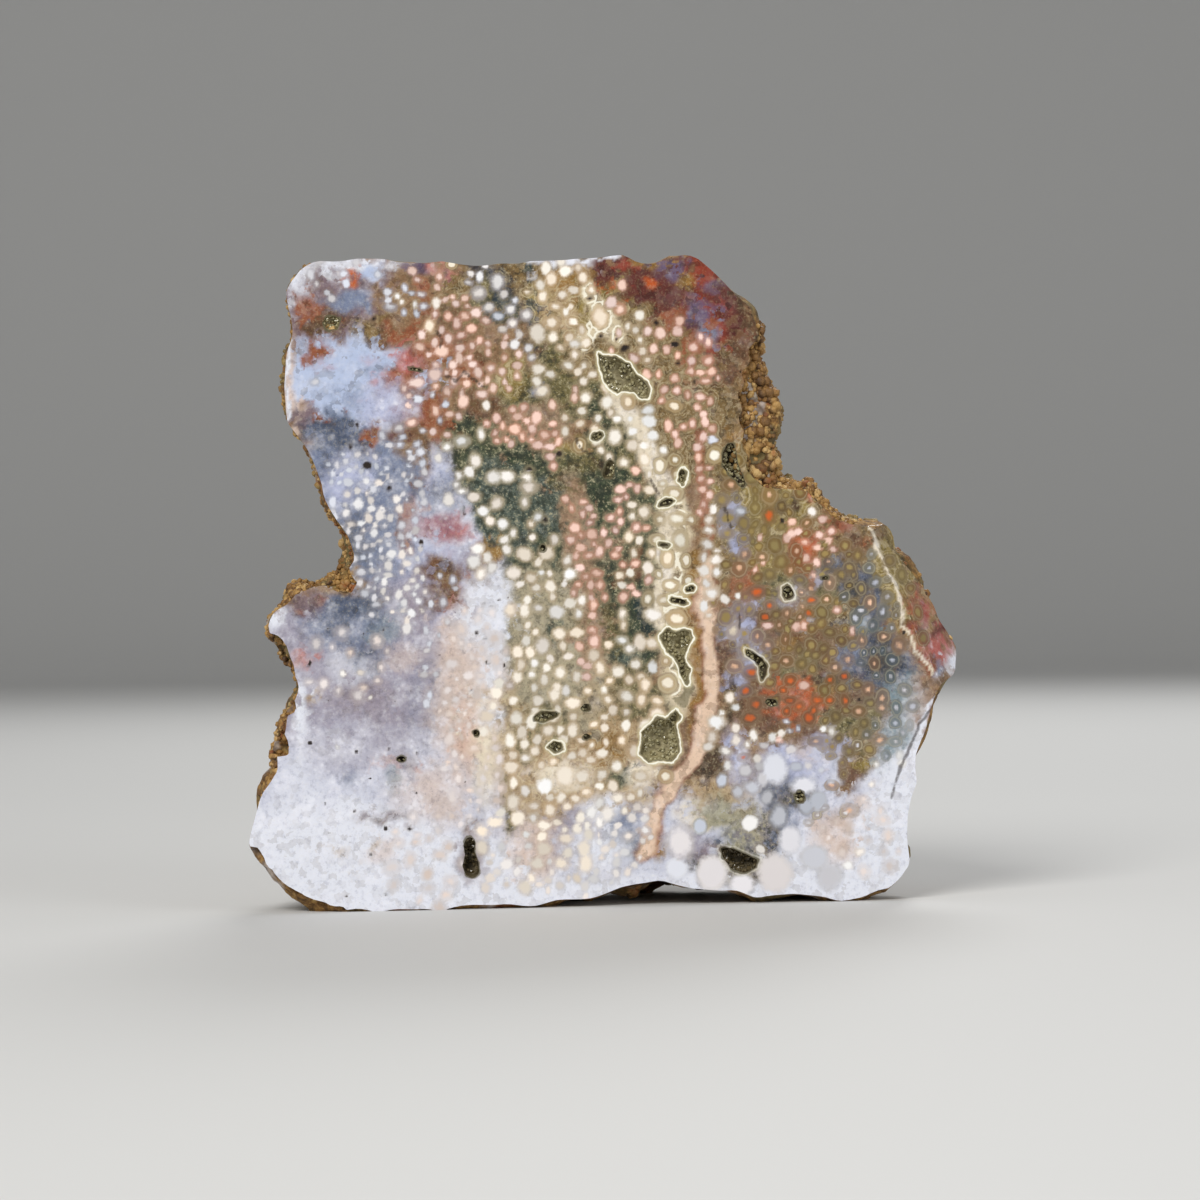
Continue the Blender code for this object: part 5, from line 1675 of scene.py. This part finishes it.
def paint_polish(finish, place):
    """The polished face's colour."""
    noises = {name: finish.noise(place, *row) for name, row in POLISH_NOISES.items()}
    traits = {name: finish.attribute(name) for name in ("mossy", "lined", "cloudy")}
    paint = Paint(finish, finish.attribute("ground", "Color"))
    lay_ground(paint, place, noises, traits)
    lay_contours(paint, noises, traits)
    lay_orbs(paint, noises, traits)
    lay_rims(paint, noises)
    return paint.colour


def paint_hollow(finish, place):
    """The druzy walls of the hollows: olive, and in some darker, by their own brown and painted shade.
    """
    paint = Paint(finish, finish.ramp(HOLLOW_STOPS, finish.noise(place, 0.8, 3.0, 0.55)))
    # Darkens the floors: the druzy's own dark brown in some hollows, painted shade in the small pits.
    paint.lay(finish.attribute("floor_dark") * 0.9, (0.30, 0.21, 0.18), "MULTIPLY")
    return paint.colour


def paint_crust(finish, place):
    """The natural crust: gold and tan knobs with painted shade between them and olive and rust areas.
    """
    paint = Paint(finish, finish.ramp(CRUST_STOPS, finish.noise(place, 0.7, 4.0, 0.65)))
    paint.lay_areas(CRUST_AREAS, place)
    # Painted shade: brown laid away from the cells' middles, as if shade fell between the knobs.
    between = finish.step(finish.cells(place, 1.4), 0.35, 0.9)
    paint.lay(between * 0.7, (0.32, 0.22, 0.12), "MULTIPLY")
    return paint.colour


def knob_finish():
    """Golden and brown knobs, with painted shade on their feet where they stand in the crust."""
    finish = Finish("golden_knobs")
    place = finish.place()
    grain = finish.noise(place, 0.5, 3.0, 0.6)
    paint = Paint(finish, finish.ramp(KNOB_STOPS, finish.attribute("tone") * 0.55 + grain * 0.45))
    paint.lay_areas(KNOB_AREAS, place)
    # Painted shade: each grain is darkened low down, at its foot, as if shaded by the crust around it.
    foot = finish.step(finish.attribute("height"), 0.45, -0.15)
    paint.lay(foot * 0.85, (0.24, 0.15, 0.07))
    finish.set("Base Color", paint.colour)
    finish.set("Roughness", 0.6)
    finish.bump(grain, 0.9, 0.25)
    return finish.material


def crystal_finish():
    """Smoky druzy quartz: olive brown at the foot, paler at the points, darker low on the face."""
    finish = Finish("druzy_quartz")
    shade = finish.attribute("height") * 0.7 + finish.attribute("tone") * 0.3
    paint = Paint(finish, finish.ramp(CRYSTAL_STOPS, shade))
    up = finish.part(finish.place(), "Z")
    paint.lay(finish.step(up, 15.0, 10.0) * 0.8, (0.42, 0.34, 0.28), "MULTIPLY")
    finish.set("Base Color", paint.colour)
    finish.set("Roughness", 0.15)
    finish.set("Specular IOR Level", 0.6)
    return finish.material


def stone_finish():
    """Polish on the face and the facet, druzy walls in the hollows, and crust everywhere else."""
    finish = Finish("polished_orb_jasper")
    place = finish.place()
    behind = finish.part(place, "Y") - LOW.y / MM
    middle, _, _, facing = facet_frame()
    offset = finish.node("ShaderNodeVectorMath", {"operation": "DOT_PRODUCT"},
                         {0: place, 1: tuple(facing)}, "Value")
    off_plane = abs(offset - middle.dot(facing) / MM)
    on_face = 1 - finish.step(behind, 0.01, 0.03)
    polished = on_face.maths("MAXIMUM", on_face, 1 - finish.step(off_plane, 0.02, 0.04))
    in_hollow = (1 - finish.step(finish.attribute("rim"), 0.3, 0.5)) * (1 - polished)
    rough = finish.mix(in_hollow, paint_crust(finish, place), paint_hollow(finish, place))
    finish.set("Base Color", finish.mix(polished, rough, paint_polish(finish, place)))
    finish.set("Roughness", 0.82 - 0.58 * polished - 0.25 * in_hollow)
    finish.set("Coat Weight", polished * 0.35)
    finish.set("Coat Roughness", 0.12)
    finish.set("Specular IOR Level", 0.45)
    finish.bump(finish.noise(place, 0.8, 5.0, 0.65) * (1 - polished), 0.5, 0.4)
    return finish.material


def finish_piece(piece, material):
    piece.data.materials.clear()
    piece.data.materials.append(material)
    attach(piece, "root")


# The scene.

def add_camera():
    """The camera: a little to the left of the face, upright as the stone is drawn."""
    data = bpy.data.cameras.new("camera")
    camera = bpy.data.objects.new("camera", data)
    bpy.context.scene.collection.objects.link(camera)
    data.sensor_width = CAMERA_SENSOR
    data.sensor_height = CAMERA_SENSOR
    data.sensor_fit = "HORIZONTAL"
    data.lens = CAMERA_SENSOR * CAMERA_DISTANCE / (FRAME_MM * MM)
    data.clip_start = 0.01
    target = standing(*AIM, 0.0)
    upright = Matrix.Rotation(STANDING_TURN, 4, "Y")
    turn = Matrix.Rotation(CAMERA_TURN, 4, "Z")
    away = turn @ Vector((0.0, -CAMERA_DISTANCE, 0.0))
    facing = turn @ Matrix.Rotation(math.radians(90), 4, "X")
    camera.matrix_world = Matrix.Translation(target + upright @ away) @ upright @ facing
    bpy.context.scene.camera = camera


def add_lights():
    """Three soft round lights and an even grey sky."""
    for name, place, size, power, colour in LIGHTS:
        data = bpy.data.lights.new(name, "AREA")
        data.shape = "DISK"
        data.size = size
        data.energy = power
        data.color = colour
        light = bpy.data.objects.new(name, data)
        bpy.context.scene.collection.objects.link(light)
        light.location = place
        run = Vector(LIGHTS_AIM) - Vector(place)
        light.rotation_euler = run.to_track_quat("-Z", "Y").to_euler()
    world = bpy.context.scene.world or bpy.data.worlds.new("world")
    bpy.context.scene.world = world
    world.use_nodes = True
    back = world.node_tree.nodes["Background"]
    back.inputs["Color"].default_value = SKY_COLOUR
    back.inputs["Strength"].default_value = SKY_STRENGTH


def add_floor():
    """A plain pale floor that sweeps up behind the stone."""
    deselect_all()
    bpy.ops.mesh.primitive_plane_add(size=1.0)
    floor = bpy.context.object
    floor.name = "floor"
    floor.data.transform(Matrix.Diagonal((*FLOOR_SIZE, 1.0, 1.0)))
    with edit_mode("EDGE"):
        pass
    for edge in floor.data.edges:
        ends = [floor.data.vertices[i].co.y for i in edge.vertices]
        edge.select = min(ends) > FLOOR_SIZE[1] / 2 - 0.1
    angles = [math.radians(90) * i / SWEEP_STEPS for i in range(SWEEP_STEPS + 1)]
    with edit_mode("EDGE"):
        for low, high in zip(angles, angles[1:]):
            rise = SWEEP_RADIUS * (math.cos(low) - math.cos(high))
            run = SWEEP_RADIUS * (math.sin(high) - math.sin(low))
            extrude_edges((0.0, run, rise))
        extrude_edges((0.0, 0.0, WALL_HEIGHT))
    bpy.ops.object.shade_smooth_by_angle(angle=SMOOTH_ANGLE)
    finish = Finish("plain_floor")
    finish.set("Base Color", FLOOR_COLOUR)
    finish.set("Roughness", 0.7)
    floor.data.materials.append(finish.material)


def main():
    # Noise vectors take their seed from the clock unless one is set.
    noise.seed_set(WAVE_SEED)
    stone = make_stone()
    paint_face(stone)
    finish_piece(stone, stone_finish())
    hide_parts(STONE_NODE)
    knobs = grow_knobs(stone)
    keep_in_box(knobs)
    work_on(knobs)
    bpy.ops.object.shade_smooth()
    finish_piece(knobs, knob_finish())
    crystals = grow_crystals(stone)
    keep_in_box(crystals)
    finish_piece(crystals, crystal_finish())
    add_floor()
    add_lights()
    add_camera()
    bpy.context.scene.view_settings.view_transform = "Standard"


main()
